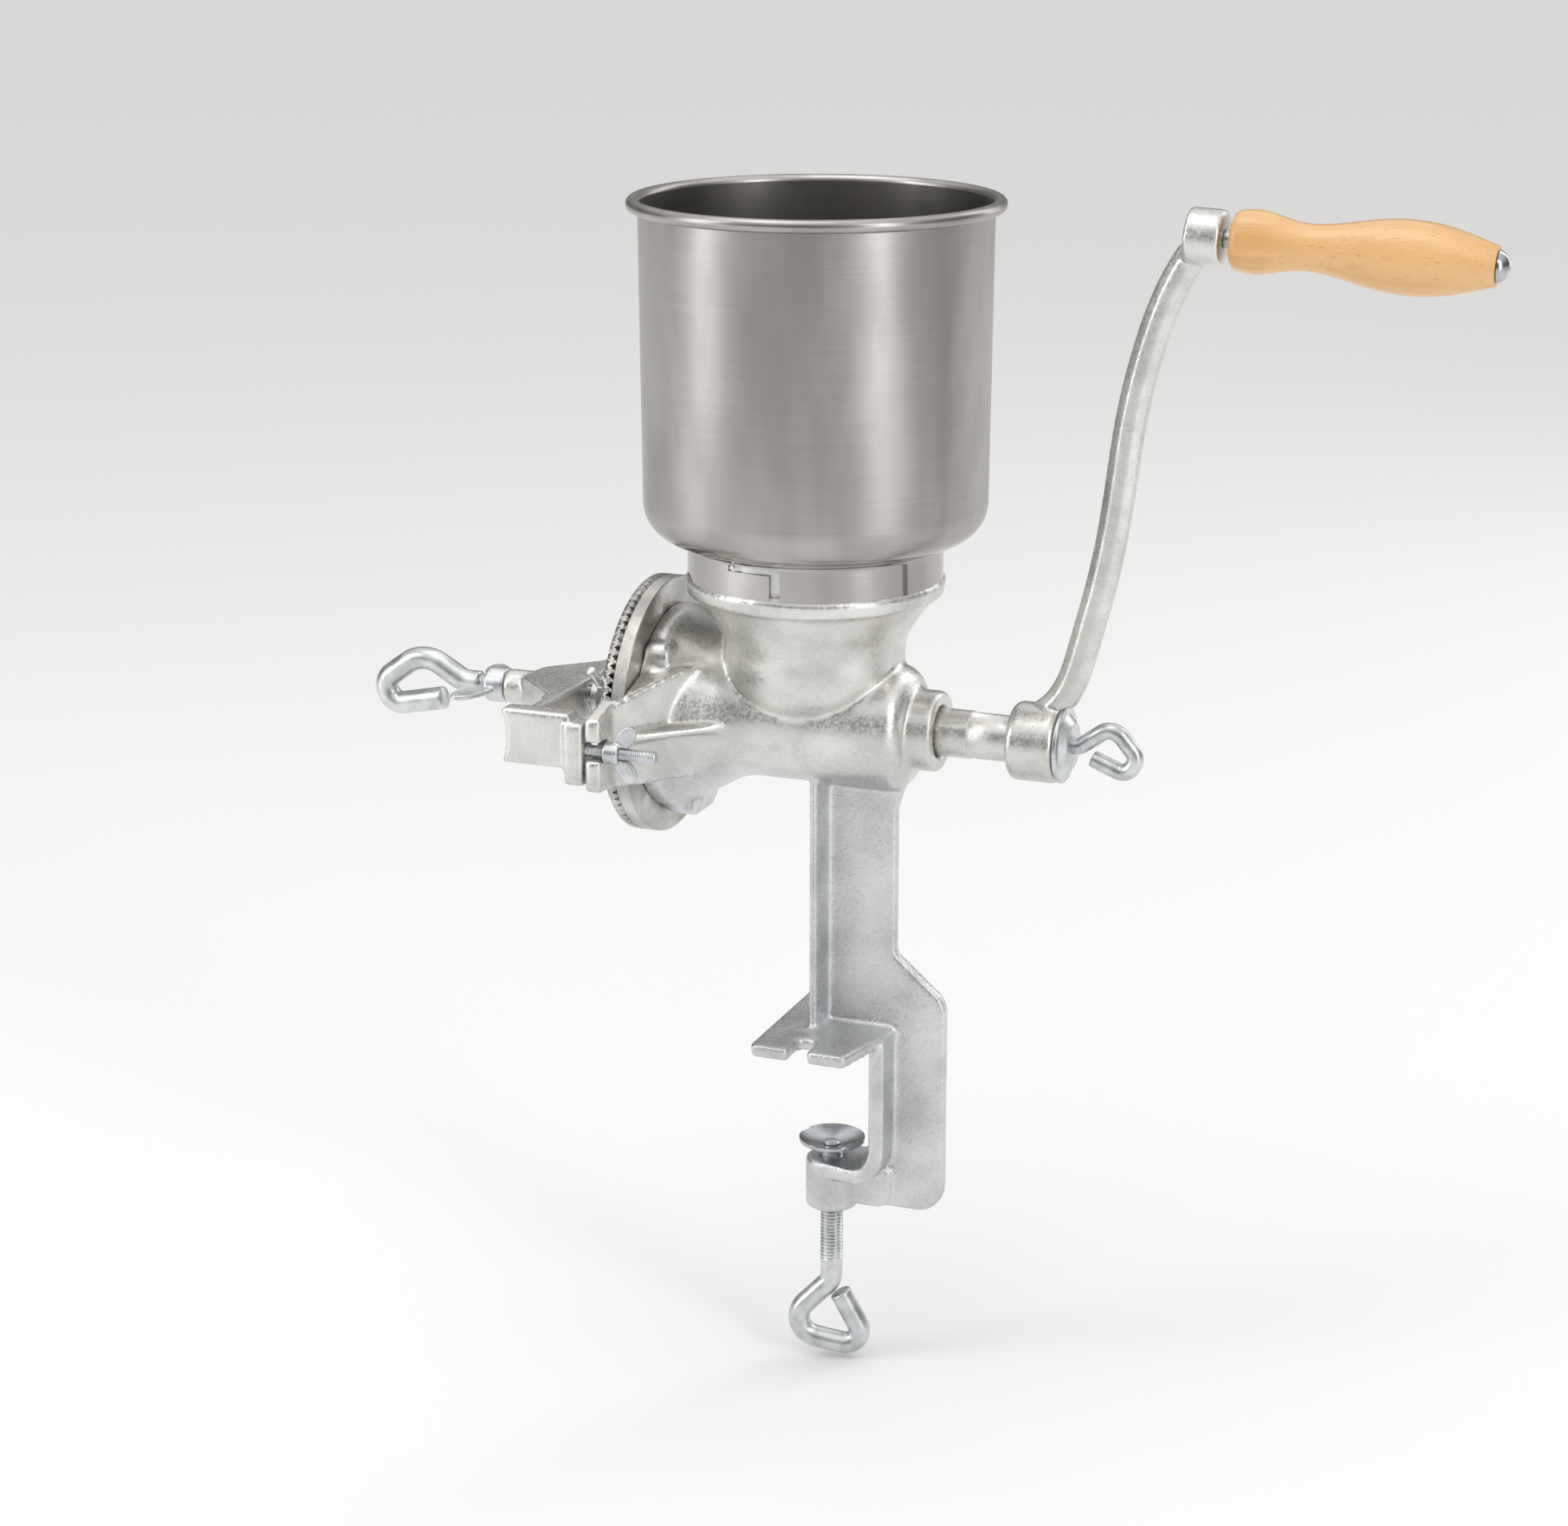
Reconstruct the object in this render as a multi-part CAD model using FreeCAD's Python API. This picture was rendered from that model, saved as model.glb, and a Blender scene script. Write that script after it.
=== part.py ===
import FreeCAD, Part
import math
import os

from FreeCAD import Vector

# A hand-cranked, table-clamped grain mill.  Millimetres, +Z up.  The origin is on
# the clamp screw's axis, at the underside of the plate that rests on the table.
# The shaft runs along X with the crank at +X and the burrs at -X.

# ------------------------------------------------------------------- clearances
running_clearance = 0.08      # turning shaft in its bore, on the radius
seat_clearance = 0.05         # fixed piece in its hole, on the radius
body_gap = 0.4                # faces of separate moving bodies that pass each other
hopper_clearance = 0.3        # steel neck round the cast spigot, on the radius

# ------------------------------------------------------------------ overall layout
shaft_height = 130.0          # shaft axis above the table
hopper_axis_x = -8.0          # hopper axis from the clamp screw axis
burr_seat_reach = 68.5        # clamp screw axis to the fixed burr's seat
boss_reach = 45.2             # clamp screw axis to the end of the shaft boss
crank_radius = 197.5          # shaft axis to handle axis
throat_rise = 58.5            # shaft axis to the collar the hopper stands on

# ------------------------------------------------------------------ main casting
barrel_radius = 25.0
barrel_reach = 26.0           # clamp screw axis to the barrel's crank end
chamber_radius = 18.0         # bore the worm turns in
boss_radius = 16.0
boss_mouth = 0.9              # widening of the bore at the boss face
bell_radius = 41.0
bell_length = 34.0            # from the burr seat to where the barrel is plain
burr_seat_depth = 7.0         # length of the bell's cylindrical rim
bell_rim_round = 6.0
bell_flare_round = 22.0
screw_lug_radius = 6.5
screw_lug_length = 11.5
screw_lug_round = 3.0
bowl_radius = 35.5            # narrowest part of the throat
bowl_wall = 4.5
throat_flare = 18.0           # height over which the bowl widens to the collar
throat_flare_round = 16.0
throat_root_rise = 17.0       # shaft axis to where the bowl's side begins
throat_root_round = 22.0
collar_thickness = 6.0
collar_overhang = 1.0         # collar beyond the steel neck
spigot_height = 14.5
spigot_wall = 4.0
lug_height = 2.6              # bayonet lug, upwards
lug_proud = 0.9               # bayonet lug beyond the steel neck
lug_length = 3.2              # bayonet lug, round the neck

wing_thickness = 6.5          # along X at the ears
wing_root_rise = 23.0         # wing's top edge above the shaft axis at the bell
wing_root_drop = 21.0
wing_burr_gap = 4.0           # burrs to the wings, on the radius
ear_rise = 12.5               # ear top above its slot
ear_drop = 16.4               # ear bottom below its slot
ear_slot = 7.2
ear_slot_depth = 11.0
ear_slot_drop = 1.6           # middle of the ear slots, below the shaft axis
bolt_sag = 1.0                # bolts below the middle of their slots
gusset_thickness = 3.6
gusset_reach = 36.0           # from the burr seat
foot_drop = 43.5              # lug under the bell, from the shaft axis
foot_length = 13.0
foot_slope = 7.0              # lug's back edge leans this far
ear_set_forward = 7.0         # ear face beyond the burr seat
ear_seat_half = 7.0           # flat behind the ear for the wing nut
foot_half_width = 9.0

leg_face_x = -4.5             # leg's flange face, away from the crank
leg_flange = 4.0
leg_half_width = 16.0
web_half = 3.0
leg_back_x = 27.4
jaw_depth = 21.0              # clamp screw axis to the spine
jaw_opening = 55.0            # table face to the screw boss
jaw_lip = 6.5
jaw_corner = 10.0
spine_back_x = 48.6
spine_bottom = 73.0           # below the table face
spine_corner = 11.0
shoulder_top = 36.0           # where the web starts to widen, above the table face
screw_boss_radius = 10.8
screw_boss_length = 22.0

plate_thickness = 5.0
plate_half_length = 41.0      # along Y
plate_front_x = -20.0
plate_back_x = 20.0
plate_root_x = 28.0
notch_width = 8.0
notch_depth = 14.0

# ------------------------------------------------------------------------ hopper
hopper_radius = 68.0
hopper_taper = 1.0            # less radius at the shoulder than at the rim
hopper_height = 144.5         # collar to the middle of the rolled rim
hopper_wall = 0.7
neck_radius = 50.1
neck_height = 13.6
shoulder_rise = 5.8
shoulder_round = 15.0
rim_bead = 2.6
slot_height = 3.4
slot_top = 13.3               # from the neck's lower edge
slot_entry = 4.2              # length round the neck of the way in
lock_angle = 21.0             # bayonet twist
lug_bearing = -108.0          # first lug, round the hopper axis from +X

# ------------------------------------------------------------------------- burrs
burr_radius = 51.7
fixed_burr_thickness = 5.3
turning_burr_thickness = 3.9
groove_count = 24
groove_depth = 1.2
edge_notch_count = 84
edge_notch_depth = 2.3
burr_hub_radius = 13.0
burr_screw_radius = 2.0
burr_screw_circle = 37.0
burr_screw_bearings = (135.0, 255.0, 15.0)
screw_head_sink = 0.3         # screw head below the burr's face
screw_hole_clearance = 0.2    # shank in the burr, on the radius

# ------------------------------------------------------------------------- rotor
shaft_radius = 9.5
outer_shaft_radius = 9.1
shaft_step_reach = 58.0
crank_hub_reach = 74.6
crank_hub_length = 19.7
crank_hub_radius = 15.4
crank_hub_round = 3.2
drive_square = 12.0
worm_core_radius = 8.0
worm_clearance = 1.0
worm_pitch = 24.0
worm_blade = 3.5
shaft_nose = 24.5             # beyond the turning burr's outer face
drive_pin_radius = 2.0
drive_pin_length = 46.0
drive_pin_bearing = 139.0
drive_pin_setback = 5.2       # from the shaft's nose
ball_radius = 2.8             # half of it stands out of the shaft's nose

# ------------------------------------------------------------- crank and handle
crank_arm_width = 12.0
crank_arm_thickness = 9.5
crank_arm_flat = 0.35         # share of each side that is flat
crank_arm_round = 1.2
crank_stations = [            # (share of the way to the handle, share of the crank radius)
    (0.0, 0.05), (0.17, 0.10), (0.29, 0.20), (0.41, 0.345), (0.495, 0.50),
    (0.56, 0.65), (0.665, 0.79), (0.81, 0.91), (0.96, 0.985)]
eye_radius = 10.6
eye_thickness = 13.5
handle_reach = 144.2          # clamp screw axis to the eye's middle
handle_droop = 2.8            # degrees
spindle_radius = 3.2
grip_gap = 3.2
grip_length = 96.0
grip_end_face = 8.0           # radius of the flat at the crank end
grip_stations = [             # (share of the length, radius)
    (0.03, 11.3), (0.10, 11.7), (0.24, 9.0), (0.38, 9.4), (0.55, 12.6),
    (0.68, 13.6), (0.82, 12.2), (0.95, 8.8), (1.0, 7.4)]
dome_radius = 6.0
dome_height = 4.2
washer_radius = 15.0
washer_rim = 1.6
washer_crown = 4.6
washer_crown_radius = 10.0

# ------------------------------------------------------------------ yoke and bolts
arm_outer = 71.0              # shaft axis to the yoke arm's outer face
arm_thickness = 9.0
arm_rise = 12.0
bar_inner_reach = 105.5       # clamp screw axis to the yoke bar's inner face
bar_thickness = 6.5
bar_dish = 2.5
bar_saddle = 5.0              # bar's top below the arms'
yoke_boss_radius = 7.0
yoke_boss_end = 142.2
yoke_gusset_reach = 133.0
yoke_gusset_half = 28.0
yoke_ear_thickness = 8.0
yoke_ear_proud = 1.5
yoke_gap = 1.0                # yoke ear to mill ear
bolt_radius = 2.4
bolt_tail = 21.5              # bolt beyond the mill's ear
bolt_head = 4.0
bolt_head_half = 4.8
bolt_head_margin = 0.4        # head beyond the shank, away from the shaft
pocket_clearance = 0.3        # round the bolt's head

wing_sheet = 2.0
ear_nut_radius = 4.4
ear_nut_length = 6.5
ear_wing_length = 12.0
ear_wing_height = 7.0
ear_wing_sweep = 40.0
lock_nut_radius = 7.2
lock_nut_length = 8.6
lock_wing_length = 21.0
lock_wing_height = 11.0
lock_wing_sweep = 28.0
lock_nut_turn = 94.0          # how far round the lock nut stands

# ------------------------------------------------------------------- hand screws
adjust_thread_radius = 3.3
adjust_rod_radius = 4.7
adjust_neck_reach = 161.0
adjust_loop = [               # (beyond the neck, upwards, corner)
    (2.0, 0.0, 8.0), (20.4, 10.6, 14.0), (39.4, -3.4, 6.5), (34.8, -13.1, 6.5), (11.0, -8.2, 0.0)]
clamp_thread_radius = 4.65
clamp_rod_radius = 4.5
clamp_loop = [                # (below the neck, to the near side, corner)
    (3.0, 0.0, 7.0), (26.0, 22.5, 9.0), (34.0, -16.9, 6.0), (8.5, -3.5, 0.0)]
clamp_neck_drop = 108.0
clamp_loop_bearing = 15.0
crank_screw_radius = 3.3
crank_loop = [                # (beyond the neck, above the axis, corner)
    (1.5, 0.0, 4.0), (14.5, 9.4, 6.0), (24.8, -2.6, 4.5), (20.2, -9.6, 4.5), (6.5, -4.2, 0.0)]
crank_screw_neck = 0.8
stud_radius = 2.0
cup_radius = 13.6
cup_depth = 3.4
cup_sheet = 1.4
rivet_lift = 0.5              # screw's rivet above the cup's dish
cup_rise = 8.0                # cup's rim above the screw boss

# -------------------------------------------------------------- derived positions
seat_x = -burr_seat_reach
fixed_face_x = seat_x - fixed_burr_thickness
turning_face_x = fixed_face_x - body_gap
turning_back_x = turning_face_x - turning_burr_thickness
nose_x = turning_back_x - shaft_nose
ball_x = nose_x
screw_tip_x = ball_x - ball_radius
collar_z = shaft_height + throat_rise
rim_z = collar_z + hopper_height
bolt_y = arm_outer - arm_thickness / 2
slot_z = shaft_height - ear_slot_drop
bolt_z = slot_z - bolt_sag
ear_face_x = seat_x - ear_set_forward
yoke_face_x = ear_face_x - yoke_gap
bolt_end_x = ear_face_x + wing_thickness + bolt_tail
handle_z = shaft_height + crank_radius
boss_bottom_z = -jaw_opening - screw_boss_length
collar_radius = neck_radius + collar_overhang
spigot_radius = neck_radius - hopper_wall - hopper_clearance


# ------------------------------------------------------------------ shape helpers
def along_x(radius, start, end, y=0.0, z=shaft_height):
    """Cylinder parallel to the shaft."""
    return Part.makeCylinder(radius, end - start, Vector(start, y, z), Vector(1, 0, 0))


def along_z(radius, bottom, top, x=0.0, y=0.0):
    """Upright cylinder."""
    return Part.makeCylinder(radius, top - bottom, Vector(x, y, bottom))


def block(x_low, x_high, y_low, y_high, z_low, z_high):
    """Box from its limits."""
    size = (x_high - x_low, y_high - y_low, z_high - z_low)
    return Part.makeBox(*size, Vector(x_low, y_low, z_low))


def outline(corners, closed=True):
    """Wire through (point, corner radius) pairs, with each corner rounded."""
    count = len(corners)
    entries, exits, arcs = [], [], []
    for index, (point, radius) in enumerate(corners):
        at_end = not closed and index in (0, count - 1)
        if radius == 0 or at_end:
            entries.append(point)
            exits.append(point)
            arcs.append(None)
            continue
        back = (corners[index - 1][0] - point).normalize()
        ahead = (corners[(index + 1) % count][0] - point).normalize()
        half = back.getAngle(ahead) / 2
        middle = (back + ahead).normalize()
        entries.append(point + back * (radius / math.tan(half)))
        exits.append(point + ahead * (radius / math.tan(half)))
        arcs.append(point + middle * (radius / math.sin(half) - radius))
    edges = []
    for index in range(count):
        if arcs[index] is not None:
            edges.append(Part.Arc(entries[index], arcs[index], exits[index]).toShape())
        if index == count - 1 and not closed:
            break
        follower = entries[(index + 1) % count]
        if (follower - exits[index]).Length > 1e-6:
            edges.append(Part.LineSegment(exits[index], follower).toShape())
    return Part.Wire(edges)


def slab(axis, corners, low, high):
    """Prism along an axis from (u, v, radius) corners: u, v follow X, Y, Z order."""
    place = {
        "x": lambda u, v: Vector(low, u, v),
        "y": lambda u, v: Vector(u, low, v),
        "z": lambda u, v: Vector(u, v, low),
    }[axis]
    depth = {
        "x": Vector(high - low, 0, 0),
        "y": Vector(0, high - low, 0),
        "z": Vector(0, 0, high - low),
    }[axis]
    points = [(place(corner[0], corner[1]), corner[2] if len(corner) > 2 else 0) for corner in corners]
    return Part.Face(outline(points)).extrude(depth)


def spun_about_shaft(corners):
    """Solid of revolution about the shaft from (x, radius, corner) triples."""
    points = [(Vector(x, 0, shaft_height + radius), corner) for x, radius, corner in corners]
    return Part.Face(outline(points)).revolve(Vector(0, 0, shaft_height), Vector(1, 0, 0), 360)


def spun_about_hopper(corners):
    """Solid of revolution about the hopper axis from (radius, z, corner) triples."""
    points = [(Vector(hopper_axis_x + radius, 0, z), corner) for radius, z, corner in corners]
    return Part.Face(outline(points)).revolve(Vector(hopper_axis_x, 0, 0), Vector(0, 0, 1), 360)


def joined(shapes):
    """One solid from overlapping shapes."""
    return shapes[0].fuse(shapes[1:]).removeSplitter()


def mirrored(shape):
    """The same shape on the other side of the shaft."""
    return shape.mirror(Vector(0, 0, 0), Vector(0, 1, 0))


def turned_about_shaft(shape, degrees):
    """The shape turned about the shaft axis."""
    copy = shape.copy()
    copy.rotate(Vector(0, 0, shaft_height), Vector(1, 0, 0), degrees)
    return copy


def turned_about_hopper(shape, degrees):
    """The shape turned about the hopper axis."""
    copy = shape.copy()
    copy.rotate(Vector(hopper_axis_x, 0, 0), Vector(0, 0, 1), degrees)
    return copy


def shaft_circle_point(x, radius, bearing):
    """Point on a circle about the shaft; the bearing runs from +Y towards +Z."""
    angle = math.radians(bearing)
    return Vector(x, radius * math.cos(angle), shaft_height + radius * math.sin(angle))


def bent_rod(start, neck, heading, side, loop, rod_radius):
    """Round rod that runs from start to the neck and on round a finger loop.

    The loop's corners are (beyond the neck, towards side, corner radius),
    and the rod's end lies close to its own neck.
    """
    path = [(start, 0)]
    for beyond, aside, corner in loop:
        path.append((neck + heading * beyond + side * aside, corner))
    section = Part.Wire(Part.makeCircle(rod_radius, start, heading))
    return outline(path, closed=False).makePipeShell([section], True, False)


def wing_pair(centre_x, y, z, hub_radius, hub_length, blade_length, blade_height, toward, sweep):
    """Wing nut on an axis parallel to X: a hub and two flat oval wings, swept back."""
    hub = along_x(hub_radius, min(0, toward * hub_length), max(0, toward * hub_length), 0, 0)
    hub = hub.makeChamfer(0.5, hub.Edges)
    stretch = FreeCAD.Matrix()
    stretch.scale(blade_length / blade_height, 1, 1)
    blade_corner = Vector(0, -wing_sheet / 2, 0)
    blade = Part.makeCylinder(blade_height / 2, wing_sheet, blade_corner, Vector(0, 1, 0))
    blade = blade.transformGeometry(stretch)
    blade.translate(Vector(blade_length / 2 + hub_radius * 0.45, 0, 0))
    pieces = [hub]
    for sign in (1, -1):
        swept = blade.copy()
        turn = -sign * (90 - sweep) if toward > 0 else sign * (90 - sweep) + 180
        swept.rotate(Vector(0, 0, 0), Vector(0, 1, 0), turn)
        swept.translate(Vector(toward * hub_length * 0.5, 0, 0))
        pieces.append(swept)
    nut = joined(pieces)
    nut.translate(Vector(centre_x, y, z))
    return nut


# ------------------------------------------------------------------- main casting
def barrel_and_bell():
    """Barrel round the worm, flared to the burr seat, with the shaft boss."""
    plain_x = seat_x + bell_length
    rim_end = seat_x + burr_seat_depth
    rounding = min(9.0, (barrel_radius - boss_radius) * 0.95)
    return spun_about_shaft([
        (seat_x, 0, 0),
        (seat_x, bell_radius, 0.8),
        (rim_end, bell_radius, bell_rim_round),
        (plain_x, barrel_radius, bell_flare_round),
        (barrel_reach + rounding, barrel_radius, rounding),
        (barrel_reach + rounding, boss_radius, 0),
        (boss_reach, boss_radius, 1.5),
        (boss_reach, 0, 0),
    ])


def throat():
    """Round bowl below the hopper, with the collar and the spigot on top."""
    waist_z = collar_z - collar_thickness - throat_flare
    return spun_about_hopper([
        (0, shaft_height, 0),
        (barrel_radius * 0.72, shaft_height, 0),
        (bowl_radius, shaft_height + throat_root_rise, throat_root_round),
        (bowl_radius, waist_z, throat_flare_round),
        (collar_radius - 4, collar_z - collar_thickness - 1, 2.0),
        (collar_radius - 0.5, collar_z - collar_thickness, 0.6),
        (collar_radius - 0.5, collar_z - collar_thickness / 2 - 0.6, 0.4),
        (collar_radius - 1.4, collar_z - collar_thickness / 2, 0.3),
        (collar_radius, collar_z - collar_thickness / 2 + 0.8, 0.4),
        (collar_radius, collar_z, 0.8),
        (spigot_radius, collar_z, 0),
        (spigot_radius, collar_z + spigot_height, 0.8),
        (0, collar_z + spigot_height, 0),
    ])


def throat_hollow():
    """Funnel inside the throat, from the spigot down to the worm."""
    inner = spigot_radius - spigot_wall
    return spun_about_hopper([
        (0, shaft_height, 0),
        (chamber_radius * 0.7, shaft_height, 0),
        (bowl_radius - bowl_wall, shaft_height + 22, 20.0),
        (bowl_radius - bowl_wall, collar_z - collar_thickness - 16, 12.0),
        (inner, collar_z - collar_thickness, 8.0),
        (inner, collar_z + spigot_height + 1, 0),
        (0, collar_z + spigot_height + 1, 0),
    ])


def bayonet_lugs():
    """Two lugs on the spigot that the hopper's slots lock under."""
    lug_z = collar_z + slot_top - slot_height / 2
    reach = neck_radius + lug_proud
    lug = block(
        hopper_axis_x + spigot_radius - 1, hopper_axis_x + reach,
        -lug_length / 2, lug_length / 2,
        lug_z - lug_height / 2, lug_z + lug_height / 2,
    )
    return [turned_about_hopper(lug, lug_bearing + half_turn) for half_turn in (0, 180)]


def wing(side_sign=-1):
    """Plate from the bell out to a slotted ear that takes the yoke's bolt."""
    tip_y = arm_outer + yoke_ear_proud
    ear_back_x = ear_face_x + wing_thickness
    inner_y = burr_radius + wing_burr_gap
    plan = slab("z", [
        (ear_face_x, -tip_y, 1.5),
        (ear_back_x, -tip_y, 2.0),
        (ear_back_x, ear_seat_half - bolt_y, 0),
        (seat_x + 23, -barrel_radius * 0.85, 0),
        (seat_x + 12, -barrel_radius * 0.6, 0),
        (seat_x + body_gap + 0.6, -bell_radius + 4, 0),
        (seat_x + body_gap + 0.6, -inner_y, 0),
        (ear_face_x, -inner_y, 1.0),
    ], slot_z - 40, slot_z + 40)
    side = slab("x", [
        (-tip_y, slot_z - ear_drop, 2.5),
        (-tip_y, slot_z + ear_rise, 2.5),
        (-bell_radius * 0.75, shaft_height + wing_root_rise, 0),
        (0, shaft_height + wing_root_rise + 1, 0),
        (0, shaft_height - wing_root_drop - 1, 0),
        (-bell_radius * 0.9, shaft_height - wing_root_drop, 6.0),
    ], seat_x - 20, seat_x + 60)
    plate = plan.common(side)
    slot = slab("x", [
        (-tip_y - 1, slot_z - ear_slot / 2, 0),
        (-tip_y - 1, slot_z + ear_slot / 2, 0),
        (-tip_y + ear_slot_depth, slot_z + ear_slot / 2, 3.0),
        (-tip_y + ear_slot_depth, slot_z - ear_slot / 2, 3.0),
    ], seat_x - 20, seat_x + 20)
    gusset = slab("z", [
        (seat_x + 3, -burr_radius - wing_burr_gap, 0),
        (seat_x + gusset_reach, -barrel_radius + 1.5, 0),
        (seat_x + 10, -barrel_radius + 1.5, 0),
    ], shaft_height - gusset_thickness / 2, shaft_height + gusset_thickness / 2)
    shape = joined([plate.cut(slot), gusset])
    return shape if side_sign < 0 else mirrored(shape)


def screw_lugs():
    """Thickenings of the bell rim that hold the fixed burr's screws."""
    lugs = []
    for bearing in burr_screw_bearings:
        centre = shaft_circle_point(seat_x, burr_screw_circle, bearing)
        lug = along_x(screw_lug_radius, seat_x, seat_x + screw_lug_length, centre.y, centre.z)
        lugs.append(lug.makeFillet(screw_lug_round, [edge for edge in lug.Edges if edge.Closed]))
    return lugs


def foot_lug():
    """Flat lug under the bell."""
    bottom = shaft_height - foot_drop
    return slab("y", [
        (seat_x + 1.0, bottom + 6, 0),
        (seat_x + 1.0, bottom, 2.0),
        (seat_x + foot_length, bottom, 1.0),
        (seat_x + foot_length + foot_slope, shaft_height - 25, 0),
        (seat_x + 1.0, shaft_height - 25, 0),
    ], -foot_half_width, foot_half_width)


def leg():
    """T-shaped leg, table plate and C-shaped clamp frame."""
    web = slab("y", [
        (leg_face_x, shaft_height - barrel_radius * 0.8, 0),
        (leg_face_x, plate_thickness / 2, 0),
        (0, plate_thickness / 2, 0),
        (0, -spine_bottom, 0),
        (spine_back_x, -spine_bottom, spine_corner),
        (spine_back_x, shoulder_top - 18, 10.0),
        (leg_back_x, shoulder_top, 4.0),
        (leg_back_x, shaft_height - barrel_radius - 8, 8.0),
        (barrel_reach + 8, shaft_height - barrel_radius * 0.5, 0),
    ], -web_half, web_half)
    flange_top = shaft_height - math.sqrt(barrel_radius ** 2 - leg_half_width ** 2) + 2
    flange = slab("z", [
        (leg_face_x, -leg_half_width, 1.2),
        (leg_face_x + leg_flange - 0.8, -leg_half_width, 1.2),
        (leg_face_x + leg_flange, 0, 0),
        (leg_face_x + leg_flange - 0.8, leg_half_width, 1.2),
        (leg_face_x, leg_half_width, 1.2),
    ], plate_thickness / 2, flange_top)
    plate = slab("z", [
        (plate_front_x, -plate_half_length, 2.5),
        (-notch_width / 2, -plate_half_length, 2.0),
        (-notch_width / 2, notch_depth - plate_half_length, 3.5),
        (notch_width / 2, notch_depth - plate_half_length, 3.5),
        (notch_width / 2, -plate_half_length, 2.0),
        (plate_back_x, -plate_half_length, 3.0),
        (plate_root_x, -web_half - 1, 0),
        (plate_root_x, web_half + 1, 0),
        (plate_back_x, plate_half_length, 3.0),
        (notch_width / 2, plate_half_length, 2.0),
        (notch_width / 2, plate_half_length - notch_depth, 3.5),
        (-notch_width / 2, plate_half_length - notch_depth, 3.5),
        (-notch_width / 2, plate_half_length, 2.0),
        (plate_front_x, plate_half_length, 2.5),
    ], 0, plate_thickness)
    lip_outer = slab("y", [
        (0, plate_thickness / 2, 0),
        (jaw_depth + jaw_lip, plate_thickness / 2, 0),
        (jaw_depth + jaw_lip, -jaw_opening - jaw_lip, jaw_corner + jaw_lip),
        (0, -jaw_opening - jaw_lip, 0),
    ], -leg_half_width, leg_half_width)
    lip_plan = slab("z", [
        (0, -screw_boss_radius, 0),
        (jaw_depth, -leg_half_width, 14.0),
        (spine_back_x, -leg_half_width, 0),
        (spine_back_x, leg_half_width, 0),
        (jaw_depth, leg_half_width, 14.0),
        (0, screw_boss_radius, 0),
    ], -spine_bottom, plate_thickness)
    boss = along_z(screw_boss_radius, boss_bottom_z, -jaw_opening)
    boss = boss.makeFillet(1.5, boss.Edges)
    boss_web = slab("y", [
        (0, -jaw_opening - 1, 0),
        (jaw_depth + 6, -jaw_opening - 1, 0),
        (jaw_depth + 6, -spine_bottom, 6.0),
        (0, -spine_bottom, 0),
    ], -screw_boss_radius * 0.55, screw_boss_radius * 0.55)
    solid = joined([web, flange, lip_outer.common(lip_plan), boss, boss_web])
    jaw = slab("y", [
        (plate_front_x - 20, 0, 0),
        (jaw_depth, 0, 0),
        (jaw_depth, -jaw_opening, jaw_corner),
        (plate_front_x - 20, -jaw_opening, 0),
    ], -plate_half_length - 5, plate_half_length + 5)
    return joined([solid.cut(jaw), plate])


def mill_body():
    """The one casting: throat, barrel, bell, wings, leg and clamp frame."""
    outside = [barrel_and_bell(), throat(), leg(), foot_lug(), wing(-1), wing(1)]
    outside += screw_lugs() + bayonet_lugs()
    shape = joined(outside)
    relief = spun_about_shaft([
        (seat_x - 1, 0, 0),
        (seat_x - 1, bell_radius - 10, 0),
        (seat_x + 1, bell_radius - 10, 0),
        (seat_x + 16, chamber_radius, 0),
        (seat_x + 16, 0, 0),
    ])
    cuts = [
        throat_hollow(),
        relief,
        along_x(chamber_radius, seat_x - 1, barrel_reach - 4),
        along_x(shaft_radius + running_clearance, barrel_reach - 5, boss_reach + 1),
        along_x(shaft_radius + boss_mouth, boss_reach - 2.5, boss_reach + 1),
        along_z(clamp_thread_radius + running_clearance, boss_bottom_z - 1, -jaw_opening + 1),
    ]
    for bearing in burr_screw_bearings:
        centre = shaft_circle_point(seat_x, burr_screw_circle, bearing)
        hole = along_x(burr_screw_radius + seat_clearance, seat_x - 1, seat_x + 9, centre.y, centre.z)
        cuts.append(hole)
    return shape.cut(cuts).removeSplitter()


# ------------------------------------------------------------------------- hopper
def hopper():
    """Spun steel hopper with a rolled rim and a slotted neck."""
    shoulder_z = collar_z + neck_height
    side_z = shoulder_z + shoulder_rise + shoulder_round
    outer = [
        (neck_radius, collar_z, 0),
        (neck_radius, shoulder_z, 1.6),
        (hopper_radius - hopper_taper, shoulder_z + shoulder_rise, shoulder_round),
        (hopper_radius - hopper_taper + 0.1, side_z, 0),
        (hopper_radius, rim_z, 0),
    ]
    inner = [
        (hopper_radius - hopper_wall, rim_z, 0),
        (hopper_radius - hopper_taper + 0.1 - hopper_wall, side_z, 0),
        (hopper_radius - hopper_taper - hopper_wall, shoulder_z + shoulder_rise + hopper_wall * 0.8,
         shoulder_round - hopper_wall),
        (neck_radius - hopper_wall, shoulder_z + hopper_wall * 0.7, 2.0),
        (neck_radius - hopper_wall, collar_z, 0),
    ]
    wall = spun_about_hopper(outer + inner)
    bead = Part.makeTorus(hopper_radius + rim_bead * 0.75, rim_bead, Vector(hopper_axis_x, 0, rim_z))
    shape = joined([wall, bead])
    return shape.cut(bayonet_slots())


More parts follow.
